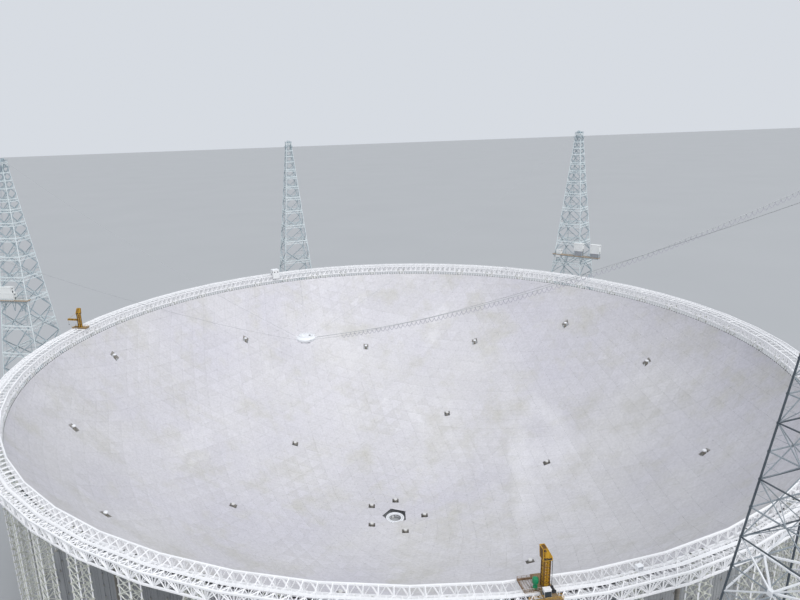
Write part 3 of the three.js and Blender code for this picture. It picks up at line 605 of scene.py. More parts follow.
def net_nodes(sector, radius):
    """Grid of net points, nodes[row, step] for step up to row, on one face of an icosahedron."""
    tilt = math.atan(2)
    sides = sector_azimuth(sector) + np.array([-1, 1]) * math.pi / SECTORS
    corners = np.vstack([(0.0, 0.0, -1.0), circle(math.sin(tilt), sides, -math.cos(tilt))])
    rows, steps = np.indices((NET_FREQUENCY + 1, NET_FREQUENCY + 1))
    points = np.stack([NET_FREQUENCY - rows, rows - steps, steps], axis=2) @ corners
    points /= np.linalg.norm(points, axis=2, keepdims=True)
    return points * radius + SPHERE_CENTRE


def net_triangles():
    for row in range(NET_FREQUENCY):
        for step in range(row + 1):
            yield (row, step), (row + 1, step), (row + 1, step + 1)
            if step < row:
                yield (row, step), (row + 1, step + 1), (row, step + 1)


def clipped(polygon, normal, limit):
    """Part of a polygon where normal . (x, y) is no more than the limit, or no points at all."""
    kept = []
    values = polygon[:, :2] @ np.asarray(normal) - limit
    for i in range(len(polygon)):
        j = (i + 1) % len(polygon)
        if values[i] <= 0:
            kept.append(polygon[i])
        if (values[i] < 0) != (values[j] < 0) and values[i] != values[j]:
            share = values[i] / (values[i] - values[j])
            kept.append(polygon[i] + (polygon[j] - polygon[i]) * share)
    return np.array(kept if len(kept) > 2 else []).reshape(-1, polygon.shape[1])


# Steps of the rim that can reach one panel, on each side of its middle
RIM_STEPS_NEAR = 2
# A panel further than this from an opening's middle isn't cut by it
OPENING_REACH = 12.0


def trimmed(polygon, azimuth):
    """Polygon cut at the rim, at the centre opening and round the pillars' openings."""
    flat = polygon[:, :2]
    middle = flat.mean(0)
    if np.hypot(*flat.T).max() > RIM_RADIUS:
        nearest = round(math.atan2(middle[1], middle[0]) / RIM_STEP)
        for step in range(nearest - RIM_STEPS_NEAR, nearest + RIM_STEPS_NEAR + 1):
            side = (math.cos(step * RIM_STEP), math.sin(step * RIM_STEP))
            polygon = clipped(polygon, side, RIM_RADIUS)
    inwards = (-math.cos(azimuth), -math.sin(azimuth))
    pieces = [clipped(polygon, inwards, -CENTRE_HOLE_RADIUS * math.cos(math.pi / SECTORS))]
    for spot in PILLAR_SPOTS.values():
        if np.hypot(*(middle - spot)) > OPENING_REACH:
            continue
        cut = []
        for rest in pieces:
            for normal in QUARTERS:
                limit = np.dot(normal, spot) - PILLAR_OPENING / 2
                cut.append(clipped(rest, normal, limit))
                rest = clipped(rest, np.negative(normal), -limit)
        pieces = cut
    return [piece for piece in pieces if len(piece)]


def reflector(sector):
    """Panels of one sector: closed plates with seams, their tones and where they lie on the net."""
    nodes = net_nodes(sector, SPHERE_RADIUS)
    draw = np.random.default_rng(SEED + sector)
    groups = NET_FREQUENCY // GROUP_ROWS + 1
    group_tones = draw.normal(0.5, GROUP_SPREAD, (groups, groups, 2))
    net_corners = np.array([(0.0, 0.0), (1.0, 0.0), (0.0, 1.0)]) * SHEETS_PER_PANEL_SIDE
    solids = Solids()
    tones, places = [], []
    for triangle in net_triangles():
        points = np.array([nodes[corner] for corner in triangle])
        if np.hypot(points[:, 0], points[:, 1]).min() > RIM_RADIUS + 1:
            continue
        middle = points.mean(0)
        inradius = np.linalg.norm(points[0] - middle) / 2
        points = middle + (points - middle) * (1 - PANEL_SEAM / 2 / inradius)
        row, step = triangle[0]
        points_down = int(triangle[2][0] == row)
        group_tone = group_tones[row // GROUP_ROWS, step // GROUP_ROWS, points_down]
        tone = group_tone + draw.normal(0, PANEL_SPREAD)
        for piece in trimmed(np.column_stack([points, net_corners]), sector_azimuth(sector)):
            inside, on_net = piece[::-1, :3], piece[::-1, 3:]
            solids.loft([pushed_out(inside, PANEL_THICKNESS), inside])
            after = np.roll(on_net, -1, axis=0)
            walls = np.stack([on_net, after, after, on_net], axis=1).reshape(-1, 2)
            places += [walls, on_net[::-1], on_net]
            tones += [tone] * (2 + len(on_net))
    replaced = [f"reflector_{part}_{sector}" for part in ("lower", "upper")]
    panels = make_piece(f"reflector_panels_{sector}", solids, [SHEET], "reflector_panels", replaced)
    attribute = panels.data.attributes.new("tone", "FLOAT", "FACE")
    attribute.data.foreach_set("value", tones)
    layer = panels.data.uv_layers.new(name="net")
    layer.uv.foreach_set("vector", np.concatenate(places).ravel())


def cable_net(sector):
    """Cables of the net under one sector, their nodes, and the ties down to anchors on the floor."""
    nodes = net_nodes(sector, SPHERE_RADIUS + NET_OFFSET)
    inside = np.hypot(nodes[..., 0], nodes[..., 1]) < RIM_RADIUS - NET_MARGIN
    links, own = [], []
    for row in range(1, NET_FREQUENCY):
        for step in range(row + 1):
            if not inside[row, step]:
                continue
            neighbours = [(row + 1, step)]
            if step < row:
                own.append(nodes[row, step])
                neighbours += [(row + 1, step + 1), (row, step + 1)]
            links += [(nodes[row, step], nodes[other]) for other in neighbours if inside[other]]
    solids = Solids()
    solids.bars(*np.swapaxes(links, 0, 1), NET_CABLE)
    own = np.array(own)
    under = pushed_out(own, NET_NODE / 2)
    solids.bars(under, pushed_out(own, PANEL_THICKNESS - NET_OFFSET), NET_NODE, 4)
    foot = own * (1.0, 1.0, 0.0)
    solids.bars(foot + (0, 0, TIE_FOOT), under + (0, 0, 0.05), TIE_CABLE)
    solids.bars(*(foot + (0, 0, level) for level in ANCHOR_TUBE_LEVELS), ANCHOR_TUBE, 4)
    solids.look = 1
    solids.blocks(foot + (0, 0, ANCHOR_BLOCK[2] / 2), ANCHOR_BLOCK)
    make_piece(f"net_cables_{sector}", solids, [CABLE, CONCRETE], "cable_steel")


def chord_at_column(radius):
    """Distance of a straight chord from the axis at a column, where radius is its mean distance."""
    return 2 * radius * math.cos(HALF_PITCH) / (1 + math.cos(HALF_PITCH))


INNER, MIDDLE, OUTER = (chord_at_column(radius) for radius in CHORD_RADII)
TOP_LINE = RING_TOP - CHORD_SIZE / 2
BOTTOM_LINE = RING_BOTTOM + CHORD_SIZE / 2

# The girder's lines, as distance from the axis and level
INNER_TOP, MIDDLE_TOP, OUTER_TOP = ((x, TOP_LINE) for x in (INNER, MIDDLE, OUTER))
INNER_LOW, MIDDLE_LOW, OUTER_LOW = ((x, BOTTOM_LINE) for x in (INNER, MIDDLE, OUTER))

# Bars at a bay's edge, as two lines and a thickness; the solids have the first four at a column
EDGE_BARS = [
    (INNER_LOW, INNER_TOP, 0.8), (OUTER_LOW, OUTER_TOP, 0.5), (INNER_TOP, OUTER_TOP, 0.4),
    (INNER_LOW, OUTER_LOW, 0.4), (MIDDLE_LOW, MIDDLE_TOP, 0.36), (MIDDLE_LOW, OUTER_TOP, 0.32),
]
# Bars in a bay, as line and share of the bay, again for the other end, and a thickness
BAY_BARS = [
    (INNER_LOW, 0, INNER_TOP, 0.5, 0.34), (INNER_LOW, 1, INNER_TOP, 0.5, 0.7),
    (INNER_LOW, 0, MIDDLE_LOW, 0.5, 0.3), (INNER_LOW, 1, MIDDLE_LOW, 0.5, 0.3),
    (OUTER_LOW, 0, MIDDLE_LOW, 0.5, 0.3), (OUTER_LOW, 1, MIDDLE_LOW, 0.5, 0.3),
    (MIDDLE_TOP, 0, OUTER_TOP, 1, 0.4), (MIDDLE_TOP, 1, OUTER_TOP, 0, 0.4),
    (MIDDLE_TOP, 0.5, OUTER_TOP, 0.5, 0.4), (MIDDLE_TOP, 0, MIDDLE_TOP, 1, 0.6),
]
# Fans on the outer side: how far their bars reach, in bays, from the bay edges in turn
FANS = ((-0.5, 0.5), (-1, -0.67, -0.33, 0.33, 0.67, 1))
FAN_BAR = 0.4


def on_ring(line, angle):
    """Point of a straight line along the ring, at an angle from the column."""
    return (line[0], line[0] * math.tan(angle), line[1])


def girder_cell():
    """Bracing of the girder over one column pitch, with X outwards at the column."""
    solids = Solids()

    def bar(first, start, second, end, size):
        solids.bars(on_ring(first, start), on_ring(second, end), size)

    for angle in BAY_ANGLES[:-1]:
        for first, second, size in EDGE_BARS if angle != 0.0 else EDGE_BARS[4:]:
            bar(first, angle, second, angle, size)
    for before, after in zip(BAY_ANGLES[:-1], BAY_ANGLES[1:]):
        for first, start, second, end, size in BAY_BARS:
            start, end = (before + (after - before) * share for share in (start, end))
            bar(first, start, second, end, size)
    for index, foot in enumerate(BAY_ANGLES):
        for reach in FANS[index % 2]:
            if 0 <= index + reach <= BAYS:
                bar(OUTER_LOW, foot, OUTER_TOP, foot + COLUMN_PITCH * reach / BAYS, FAN_BAR)
    return solids


WALKWAY_RADIUS = MIDDLE + 2.2
WALKWAY_WIDTH = 1.5
WALKWAY_EDGES = (WALKWAY_RADIUS - WALKWAY_WIDTH / 2, WALKWAY_RADIUS + WALKWAY_WIDTH / 2)
RAIL_HEIGHTS = (0.55, 1.1)
POSTS_PER_CELL = 16


def walkway_cell():
    """Grating walk on top of the girder with a handrail on each side."""
    solids = Solids()
    near, far = ((edge, RING_TOP + 0.02) for edge in WALKWAY_EDGES)
    outline = [(near, -HALF_PITCH), (far, -HALF_PITCH), (far, HALF_PITCH), (near, HALF_PITCH)]
    solids.slab([on_ring(*corner) for corner in outline], (0, 0, 0.12))
    angles = -HALF_PITCH + COLUMN_PITCH * (np.arange(POSTS_PER_CELL) + 0.5) / POSTS_PER_CELL
    shares = (np.tan(angles) / math.tan(HALF_PITCH) + 1) / 2
    for edge in WALKWAY_EDGES:
        ends = [on_ring((edge, RING_TOP + 0.1), angle) for angle in (-HALF_PITCH, HALF_PITCH)]
        solids.handrail(*ends, shares, RAIL_HEIGHTS, 0.09, 3)
    return solids


# A column's bars: crossed on the two sides across the ring, zigzag and level on the other two
CROSS_BAR = 0.36
CROSS_PLATE = (0.45, 1.1, 1.1)
COLUMN_ZIGZAG = 0.34
COLUMN_LEVEL_BAR = 0.3
COLUMN_JOINT = (0.8, 0.8, 0.7)
COLUMN_FOOTING = (1.8, 1.8, 1.0)


def column_cell():
    """Bracing on the four sides of one column, with plates where bars cross, and its footings."""
    solids = Solids()
    levels = np.linspace(COLUMN_FOOT, BOTTOM_LINE, COLUMN_PANELS + 1)
    rise = (0, 0, levels[1] - levels[0])
    half = COLUMN_HALF_WIDTH
    corners = [(INNER, -half), (MIDDLE, -half), (MIDDLE, half), (INNER, half)]
    for spot, other in zip(corners, corners[1:] + corners[:1]):
        low, far = (np.array([(*corner, z) for z in levels[:-1]]) for corner in (spot, other))
        if spot[0] == other[0]:
            solids.bars(low, far + rise, CROSS_BAR)
            solids.bars(far, low + rise, CROSS_BAR)
            solids.blocks((low + far + rise) / 2, CROSS_PLATE)
        else:
            even = np.arange(COLUMN_PANELS)[:, None] % 2 == 0
            solids.bars(np.where(even, low, far), np.where(even, far, low) + rise, COLUMN_ZIGZAG)
            solids.bars((low + rise)[::2], (far + rise)[::2], COLUMN_LEVEL_BAR)
        solids.blocks(low + rise, COLUMN_JOINT)
    solids.look = 1
    solids.blocks([(*corner, COLUMN_FOOTING[2] / 2) for corner in corners], COLUMN_FOOTING)
    return solids


def rim_ties():
    """Ties from the rim to the girder's lower chord, the cable along the rim, and a black channel there as
    painted shade of the gap.
    """
    solids = Solids()
    height = sphere_height(RIM_RADIUS, 0)
    spacing = COLUMN_PITCH / TIES_PER_COLUMN
    for number in range(TIES_PER_COLUMN):
        angle = -HALF_PITCH + number * spacing
        for lean in (-0.25, 0.25):
            chord = on_ring((INNER, RING_BOTTOM + 0.1), angle + lean * spacing)
            solids.bars(circle(RIM_RADIUS - 0.05, [angle], height - 0.1), chord, RIM_TIE)
    steps = -HALF_PITCH + RIM_STEP * np.arange(round(COLUMN_PITCH / RIM_STEP) + 1)
    solids.chain(circle(RIM_RADIUS, steps, height - 0.25), RIM_CABLE, 4)
    # Black channel: painted shadow in the gap between the rim and the girder
    solids.look = 1
    solids.chain(circle(RIM_RADIUS + SHADOW_GAP_CHANNEL / 2 + 0.04, steps, height), SHADOW_GAP_CHANNEL, 4)
    return solids


def ring():
    """The ring's bracing, walk, columns and ties, with ten column pitches in each piece."""
    cells = {
        "girder_bracing": (girder_cell(), [RING_WHITE]),
        "ring_walkway": (walkway_cell(), [RING_WHITE]),
        "column_bracing": (column_cell(), [COLUMN_WHITE, CONCRETE]),
        "rim_ties": (rim_ties(), [RING_WHITE, BLACK]),
    }
    for sector in range(SECTORS):
        for name, (cell, looks) in cells.items():
            piece = Solids()
            for number in range(COLUMNS_PER_SECTOR):
                column = sector * COLUMNS_PER_SECTOR + number
                piece.join(cell, FIRST_COLUMN_AZIMUTH + column * COLUMN_PITCH)
            make_piece(f"{name}_{sector + 1}", piece, looks, "ring_paint")


# Thickness of a tower's bars and share of its legs' full thickness, on a far tower and on the near one
LEVEL_BARS = (0.85, 0.34)
PLAN_BARS = (0.42, 0.22)
LEG_SCALES = (1.0, 0.8)
# Thickness of bars that only one kind of tower has
NEAR_DIAGONAL = 0.24
LOWER_BAR = 0.6
ZIGZAG_BAR = 0.34
# A panel taller than this gets short struts
TALL_PANEL = 9
# Rings of bars lower than this are doubled
DOUBLED_BELOW = RING_TOP + 110

# Looks of the tower bracing's bars, as places in its list of materials
# The star's white is painted light: the same steel as the rest of the near tower, lit from above
STAR_LOOK = 1
LEVEL_LOOK = 2

# Star of heavy bars on the near tower
STAR_LEVEL = RING_TOP + 26
STAR_LEG_RISES = (-9, 9.6)
STAR_EDGE = 0.55
STAR_CROSS = 0.45
STAR_LEG = 0.4
STAR_PLATE = (1.3, 1.3, 1.7)


def tower_half_width(z):
    return TOWER_FOOT_HALF_WIDTH + (TOWER_TOP_HALF_WIDTH - TOWER_FOOT_HALF_WIDTH) * z / TOWER_LEG_TOP


def tower_face(solids, bottom, top, turn, near):
    """Diamond bracing with short struts on one face, between two levels."""

    def spot(share, rise):
        z = bottom + (top - bottom) * rise
        half = tower_half_width(z)
        return placed((half, share * half, z), turn)

    size = NEAR_DIAGONAL if near else 0.36 + 0.014 * tower_half_width(bottom)
    for side in (-1, 1):
        solids.bars([spot(0, 0), spot(0, 1)], [spot(side, 0.5)] * 2, size, 4)
        if top - bottom > TALL_PANEL:
            for rise in (0.25, 0.75):
                solids.bars(spot(side * 0.5, rise), spot(side, rise), size * 0.55)


def tower_level(solids, z, near):
    """Ring of bars, the bracing in plan, and on a far tower a second line below with a zigzag."""
    half = tower_half_width(z)
    corners = square(half, z)
    solids.look = 0 if near else LEVEL_LOOK
    solids.loop(corners, LEVEL_BARS[near], 4)
    solids.loop((corners + np.roll(corners, -1, axis=0)) / 2, PLAN_BARS[near])
    if z < DOUBLED_BELOW and not near:
        drop = min(2.6, 0.35 * half)
        lower = square(tower_half_width(z - drop), z - drop)
        solids.loop(lower, LOWER_BAR, 4)
        steps = max(4, int(half / 1.6)) + 1
        shares = np.linspace(0, 1, steps)[:, None]
        for side in range(4):
            upper_line, lower_line = (
                line[side] + (line[(side + 1) % 4] - line[side]) * shares for line in (corners, lower))
            even = np.arange(steps)[:, None] % 2 == 0
            solids.chain(np.where(even, upper_line, lower_line), ZIGZAG_BAR)
    solids.look = 0


def tower_star():
    """Heavy bars that tie the middles of the four sides together, with plates at their ends; their white
    is painted light, as if lit from above.
    """
    solids = Solids(STAR_LOOK)
    half = tower_half_width(STAR_LEVEL)
    middles = np.array([(-half, 0, 0), (0, -half, 0), (half, 0, 0), (0, half, 0)])
    level = (0, 0, STAR_LEVEL)
    solids.loop(middles + level, STAR_EDGE, 4)
    solids.bars(middles[:2] + level, middles[2:] + level, STAR_CROSS, 4)
    solids.blocks(middles + level, STAR_PLATE)
    for spot in middles:
        for sideways in (np.array([spot[1], -spot[0], 0.0]), np.array([-spot[1], spot[0], 0.0])):
            for rise in STAR_LEG_RISES:
                corner = (spot + sideways) * tower_half_width(STAR_LEVEL + rise) / half
                solids.bars(spot + level, corner + (0, 0, STAR_LEVEL + rise), STAR_LEG, 4)
    return solids


def tower_bracing(levels, near):
    solids = Solids()
    heights = [RING_TOP + level for level in levels]
    bounds = [TOWER_LEG_TOP - 1.0, *heights, 0.4]
    for top, bottom in zip(bounds, bounds[1:]):
        for turn in range(4):
            tower_face(solids, bottom, top, turn * math.pi / 2, near)
    for z in heights:
        tower_level(solids, z, near)
    return solids


LEG_RADII = (0.55, 0.3)
LEG_SIDES = 12
LEG_BOTTOM = 0.1
FLANGE_HALF_HEIGHT = 0.25
FLANGE_SCALE = 1.4
STRUT = 0.34
SHEAVE_BLOCK = (3.2, 2.0, 2.2)
HEAD_RIBS = (-2.9, 0, 2.9)


def tower_frame(levels, struts, leg_scale):
    """Tubular legs with flanges and feet, single struts, and the head with its wheel block."""
    solids = Solids()

    def corners(z):
        return square(tower_half_width(z), z)

    joints = sorted(RING_TOP + level for level in (*levels, *struts))
    for low, high in zip([LEG_BOTTOM, *joints], [*joints, TOWER_LEG_TOP]):
        share = (low + high) / 2 / TOWER_LEG_TOP
        size = 2 * leg_scale * (LEG_RADII[0] + (LEG_RADII[1] - LEG_RADII[0]) * share)
        solids.bars(corners(low), corners(high), size, LEG_SIDES)
        if low != LEG_BOTTOM:
            ends = (corners(low + side * FLANGE_HALF_HEIGHT) for side in (-1, 1))
            solids.bars(*ends, FLANGE_SCALE * size, LEG_SIDES)
    solids.blocks(corners(0.35), (2.0, 2.0, 0.7))
    for level in struts:
        solids.loop(corners(RING_TOP + level), STRUT, 4)
    head = 2 * TOWER_TOP_HALF_WIDTH + 1.0
    solids.blocks([(0, 0, TOWER_LEG_TOP + rise) for rise in (-0.55, 0.55)], (head, head, 0.5))
    solids.blocks([(x, y, TOWER_LEG_TOP) for x in HEAD_RIBS for y in HEAD_RIBS], (0.4, 0.4, 1.0))
    bottom = TOWER_LEG_TOP + TOWER_HEAD_HEIGHT / 4
    solids.blocks((0, 0, bottom + SHEAVE_BLOCK[2] / 2), SHEAVE_BLOCK)
    return solids


SHOULDER_LEVEL = TOWER_LEG_TOP - 3.6
SHOULDER_HALF = 3.8
SHOULDER_STRUT = 3
HEAD_LEVEL = TOWER_LEG_TOP + 0.9
HEAD_HALF = 3.1
WHEEL_X = -1.4
WHEEL_RISE = 1.3


def railed_platform(solids, half, level, hole=0.0):
    """Square platform with a handrail; a hole of the given half width is left in its middle."""
    if hole:
        strip = half - hole
        for side in (-1, 1):
            solids.blocks((side * (half - strip / 2), 0, level), (strip, 2 * half, 0.2))
            solids.blocks((0, side * (half - strip / 2), level), (2 * hole, strip, 0.2))
    else:
        solids.blocks((0, 0, level), (2 * half, 2 * half, 0.2))
    corners = square(half, level)
    for start, end in zip(corners, np.roll(corners, -1, axis=0)):
        solids.handrail(start, end, (0.0, 0.25, 0.5, 0.75), (0.6, 1.15), 0.12)


def tower_head():
    """Two platforms with handrails, cable wheels, a lamp post and the frame that holds the wheels."""
    solids = Solids()
    railed_platform(solids, HEAD_HALF, HEAD_LEVEL)
    railed_platform(solids, SHOULDER_HALF, SHOULDER_LEVEL, tower_half_width(SHOULDER_LEVEL) + 0.6)
    foot = SHOULDER_LEVEL - SHOULDER_STRUT
    for turn in range(4):
        for y in (-2.4, 2.4):
            strut = [(tower_half_width(foot), y, foot), (SHOULDER_HALF - 0.3, y, SHOULDER_LEVEL)]
            solids.bars(*placed(strut, turn * math.pi / 2), 0.3, 4)
    wheels = HEAD_LEVEL + WHEEL_RISE
    for y in (-0.8, 0.8):
        solids.bars((WHEEL_X, y - 0.18, wheels), (WHEEL_X, y + 0.18, wheels), 2.4, 20)
        for x in (WHEEL_X - 0.8, WHEEL_X + 0.8):
            solids.bars((x, y * 1.5, HEAD_LEVEL), (WHEEL_X, y * 1.5, wheels + 0.2), 0.22, 4)
    solids.bars((WHEEL_X, -1.3, wheels), (WHEEL_X, 1.3, wheels), 0.4, 12)
    solids.bars((1.6, 1.6, HEAD_LEVEL), (1.6, 1.6, HEAD_LEVEL + 2.6), 0.12, 4)
    solids.blocks((1.6, -1.5, HEAD_LEVEL + 0.7), (1.2, 1.4, 1.3))
    return solids


LADDER_STEP = 2.2
LADDER_INSET = 2.0
LADDER_HALF_WIDTH = 0.35
RUNG_SHARES = (0.0, 0.33, 0.67)


def tower_ladder():
    """Ladder inside one leg, from the floor to the head."""
    solids = Solids()
    levels = np.arange(2.0, TOWER_LEG_TOP - 2, LADDER_STEP)
    half = np.maximum(tower_half_width(levels) - LADDER_INSET, 0.9)
    rails = [np.column_stack([half, half + side * LADDER_HALF_WIDTH, levels]) for side in (-1, 1)]
    for rail in rails:
        solids.chain(rail, 0.1)
    for share in RUNG_SHARES:
        solids.bars(*(rail[:-1] + np.diff(rail, axis=0) * share for rail in rails), 0.07)
    return solids


DECK_WIDTH = 5.0
DECK_THICKNESS = 0.7
DECK_RAILS = (0.6, 1.2)
DECK_STRUT_DROP = 9
DECK_POST_PITCH = 1.6
JOIST_PITCH = 2.4
HOUSE_WIDTH = 4.6
CLADDING = 0.06
EAVES = 0.4
RIB_PITCH = 0.8
END_RIBS = (-1.8, -0.9, 0.9, 1.8)
DOOR = (1.1, 0.1, 2.1)
LOUVRE = (1.2, 0.1, 0.6)
PLINTH_INSET = 0.7
HOUSE_LOOKS = {"wall": 0, "glass": 1, "plinth": 2}


def winch_house(solids, front, place, length, base, height):
    """Clad walls with ribs, a roof with eaves, and a door and a louvre at each end of a house."""
    wall = (HOUSE_WIDTH + 2 * CLADDING, length + 2 * CLADDING, height + CLADDING)
    solids.look = HOUSE_LOOKS["wall"]
    solids.blocks((front, place, base + wall[2] / 2), wall)
    solids.blocks((front, place, base + height + 0.1), (wall[0] + EAVES, wall[1] + EAVES, 0.3))
    side_ribs = place + np.arange((RIB_PITCH - length) / 2, length / 2, RIB_PITCH)
    end_ribs = front + np.array(END_RIBS)
    middle = base + height / 2
    for side in (-1, 1):
        x, y = front + side * (wall[0] / 2 + 0.03), place + side * (wall[1] / 2 + 0.03)
        solids.blocks([(x, rib, middle) for rib in side_ribs], (0.07, 0.12, height - 0.3))
        solids.blocks([(rib, y, middle) for rib in end_ribs], (0.12, 0.07, height - 0.3))
    solids.look = HOUSE_LOOKS["glass"]
    for side in (-1, 1):
        y = place + side * (wall[1] / 2 + 0.05)
        solids.blocks((front, y, base + 1.15), DOOR)
        solids.blocks((front, y, base + height - 1.2), LOUVRE)


def house_plinth(houses, rails, front, place, length, level, rise):
    """Closed plinth, legs and braces below a raised house."""
    reach = (HOUSE_WIDTH / 2 - 0.4, length / 2 - 0.4)
    legs = [(front + x * reach[0], place + y * reach[1]) for x in (-1, 1) for y in (-1, 1)]
    rails.bars([(*leg, level) for leg in legs], [(*leg, level + rise) for leg in legs], 0.36, 4)
    for leg, other in zip(legs, legs[1:]):
        rails.bars((*leg, level + 0.2), (*other, level + rise - 0.2), 0.2, 4)
    inset = (HOUSE_WIDTH - 2 * PLINTH_INSET + 0.04, length - 2 * PLINTH_INSET + 0.04, rise)
    houses.look = HOUSE_LOOKS["plinth"]
    houses.blocks((front, place, level + rise / 2), inset)


def tower_deck(deck):
    """Winch houses, the walk between them, and its handrails, joists and struts."""
    level = RING_TOP + deck["level"]
    front = -tower_half_width(level)
    start, end = deck["from"], deck["to"]
    houses, walk, rails = Solids(), Solids(), Solids()
    for place, length, height, rise, has_plinth in deck["houses"]:
        winch_house(houses, front, place, length, level + rise, height)
        if has_plinth:
            house_plinth(houses, rails, front, place, length, level, rise)
    centre = (front, (start + end) / 2, level - DECK_THICKNESS / 2 + 0.02)
    walk.blocks(centre, (DECK_WIDTH, end - start, DECK_THICKNESS))
    posts = (np.arange(start, end + 0.1, DECK_POST_PITCH) - start) / (end - start)
    for side in (-1, 1):
        x = front + side * (DECK_WIDTH / 2 + 0.02)
        rails.handrail((x, start, level), (x, end, level), posts, DECK_RAILS, 0.1, 3)
    joists = np.arange(start + 1, end, JOIST_PITCH)
    rails.blocks([(front, y, level - 0.95) for y in joists], (DECK_WIDTH, 0.25, 0.5))
    for x in (front - 1.9, front + 1.9):
        rails.bars((x, start + 0.3, level - 1.3), (x, end - 0.3, level - 1.3), 0.45, 4)
    low = level - DECK_STRUT_DROP
    half = tower_half_width(low)
    for place in (start + 4, start / 2, end - 4, 0):
        tips = [(front + x, place, level - 0.9) for x in (-2.2, 2.2)]
        rails.bars([(-half, np.clip(place, -half, half), low)] * 2, tips, 0.4, 4)
    turned = [Solids(), Solids(), Solids()]
    for whole, part in zip(turned, (houses, walk, rails)):
        whole.join(part, math.radians(deck["turn"]))
    return turned


def cable_route(number):
    """Start and end of one support cable, and its sag."""
    azimuth = math.radians(TOWERS[number - 1][0])
    head = circle(TOWER_RADIUS, [azimuth], TOWER_LEG_TOP + TOWER_HEAD_HEIGHT)[0]
    towards = (head - CABIN_CENTRE) * (1.0, 1.0, 0.0)
    towards /= np.linalg.norm(towards)
    start = CABIN_CENTRE + towards * CABLE_START_RADIUS + (0, 0, CABLE_START_RISE)
    sag = LADEN_CABLE_SAG if number == LADEN_TOWER else CABLE_SAG
    return start, head - towards * CABLE_END_REACH, sag


def along_cable(route, shares):
    start, end, sag = route
    shares = np.reshape(shares, (-1, 1))
    return start + (end - start) * shares - (0.0, 0.0, 4 * sag) * shares * (1 - shares)


def cable_socket(solids, tip, inner):
    """Socket at a cable's end, in line with its last stretch; gives the point at the socket's back."""
    along = (tip - inner) / np.linalg.norm(tip - inner)
    face = tip + along * SEAT
    back = face + along * SOCKET_LENGTH
    solids.bars(face, back, SOCKET_SIZE, 8)
    solids.bars(face + along * 0.1, face + along * 0.5, SOCKET_SIZE * 1.25, 12)
    return back


def towers():
    """The six towers, with their heads, decks, houses and cable sockets."""
    head, ladder = tower_head(), tower_ladder()
    for number, (degrees, deck) in enumerate(TOWERS, 1):
        azimuth = math.radians(degrees)
        near = number == NEAR_TOWER
        # On the near tower, the darker zinc of the legs and bracing is painted shade
        steel, bracing = (PAINTED_SHADE_ZINC, MID_ZINC) if near else (PALE_ZINC, ZINC)
        levels, struts = (NEAR_LEVELS, NEAR_STRUTS) if near else (BAR_LEVELS, ())
        body = Solids()
        body.join(tower_frame(levels, struts, LEG_SCALES[near]), azimuth, TOWER_RADIUS)
        cable_socket(body, *along_cable(cable_route(number), [1.0, 0.99]))
        replaced = [f"cable_tower_{number}"]
        make_piece(f"tower_frame_{number}", body, [steel], "tower_steel", replaced, True)
        lattice = [tower_bracing(levels, near)] + [tower_star()] * near
        houses, walk, rails = tower_deck(deck)
        fittings = [head, ladder, rails]
        pieces = {
            f"tower_bracing_{number}": (lattice, [bracing, CLEAN_WHITE, PALE_ZINC], "tower_steel"),
            f"tower_fittings_{number}": (fittings, [ZINC], "tower_steel", (), True),
            f"winch_houses_{number}": ([houses], [WHITE, GLASS, SHADED_GREY], "white_paint"),
            f"tower_walk_{number}": ([walk], [TAN_DECK], "deck_boards"),
        }
        place_pieces(pieces, azimuth, TOWER_RADIUS)


# Feed cabin: its outline as (radius, height), and its ring rail's section
CABIN_OUTLINE = [
    (0.02, -3.2), (2.0, -3.2), (2.2, -3.05), (2.4, -2.05), (2.9, -1.95), (5.5, -1.45), (6.2, -1.0),
    (6.5, -0.5), (6.5, 0.6), (6.2, 0.9), (4.8, 1.9), (3.2, 2.1), (1.2, 2.25), (0.02, 2.3),
]
CABIN_RAIL = [(4.6, 1.0), (4.75, 1.0), (4.75, 1.12), (4.6, 1.12)]
CABIN_SIDES = 48
CABIN_RIBS = 24
# Receiver horns below it: azimuth and distance from its axis
CABIN_HORNS = ((0.4, 4.0), (1.7, 3.7), (2.9, 4.1), (4.1, 3.8), (5.3, 4.0))


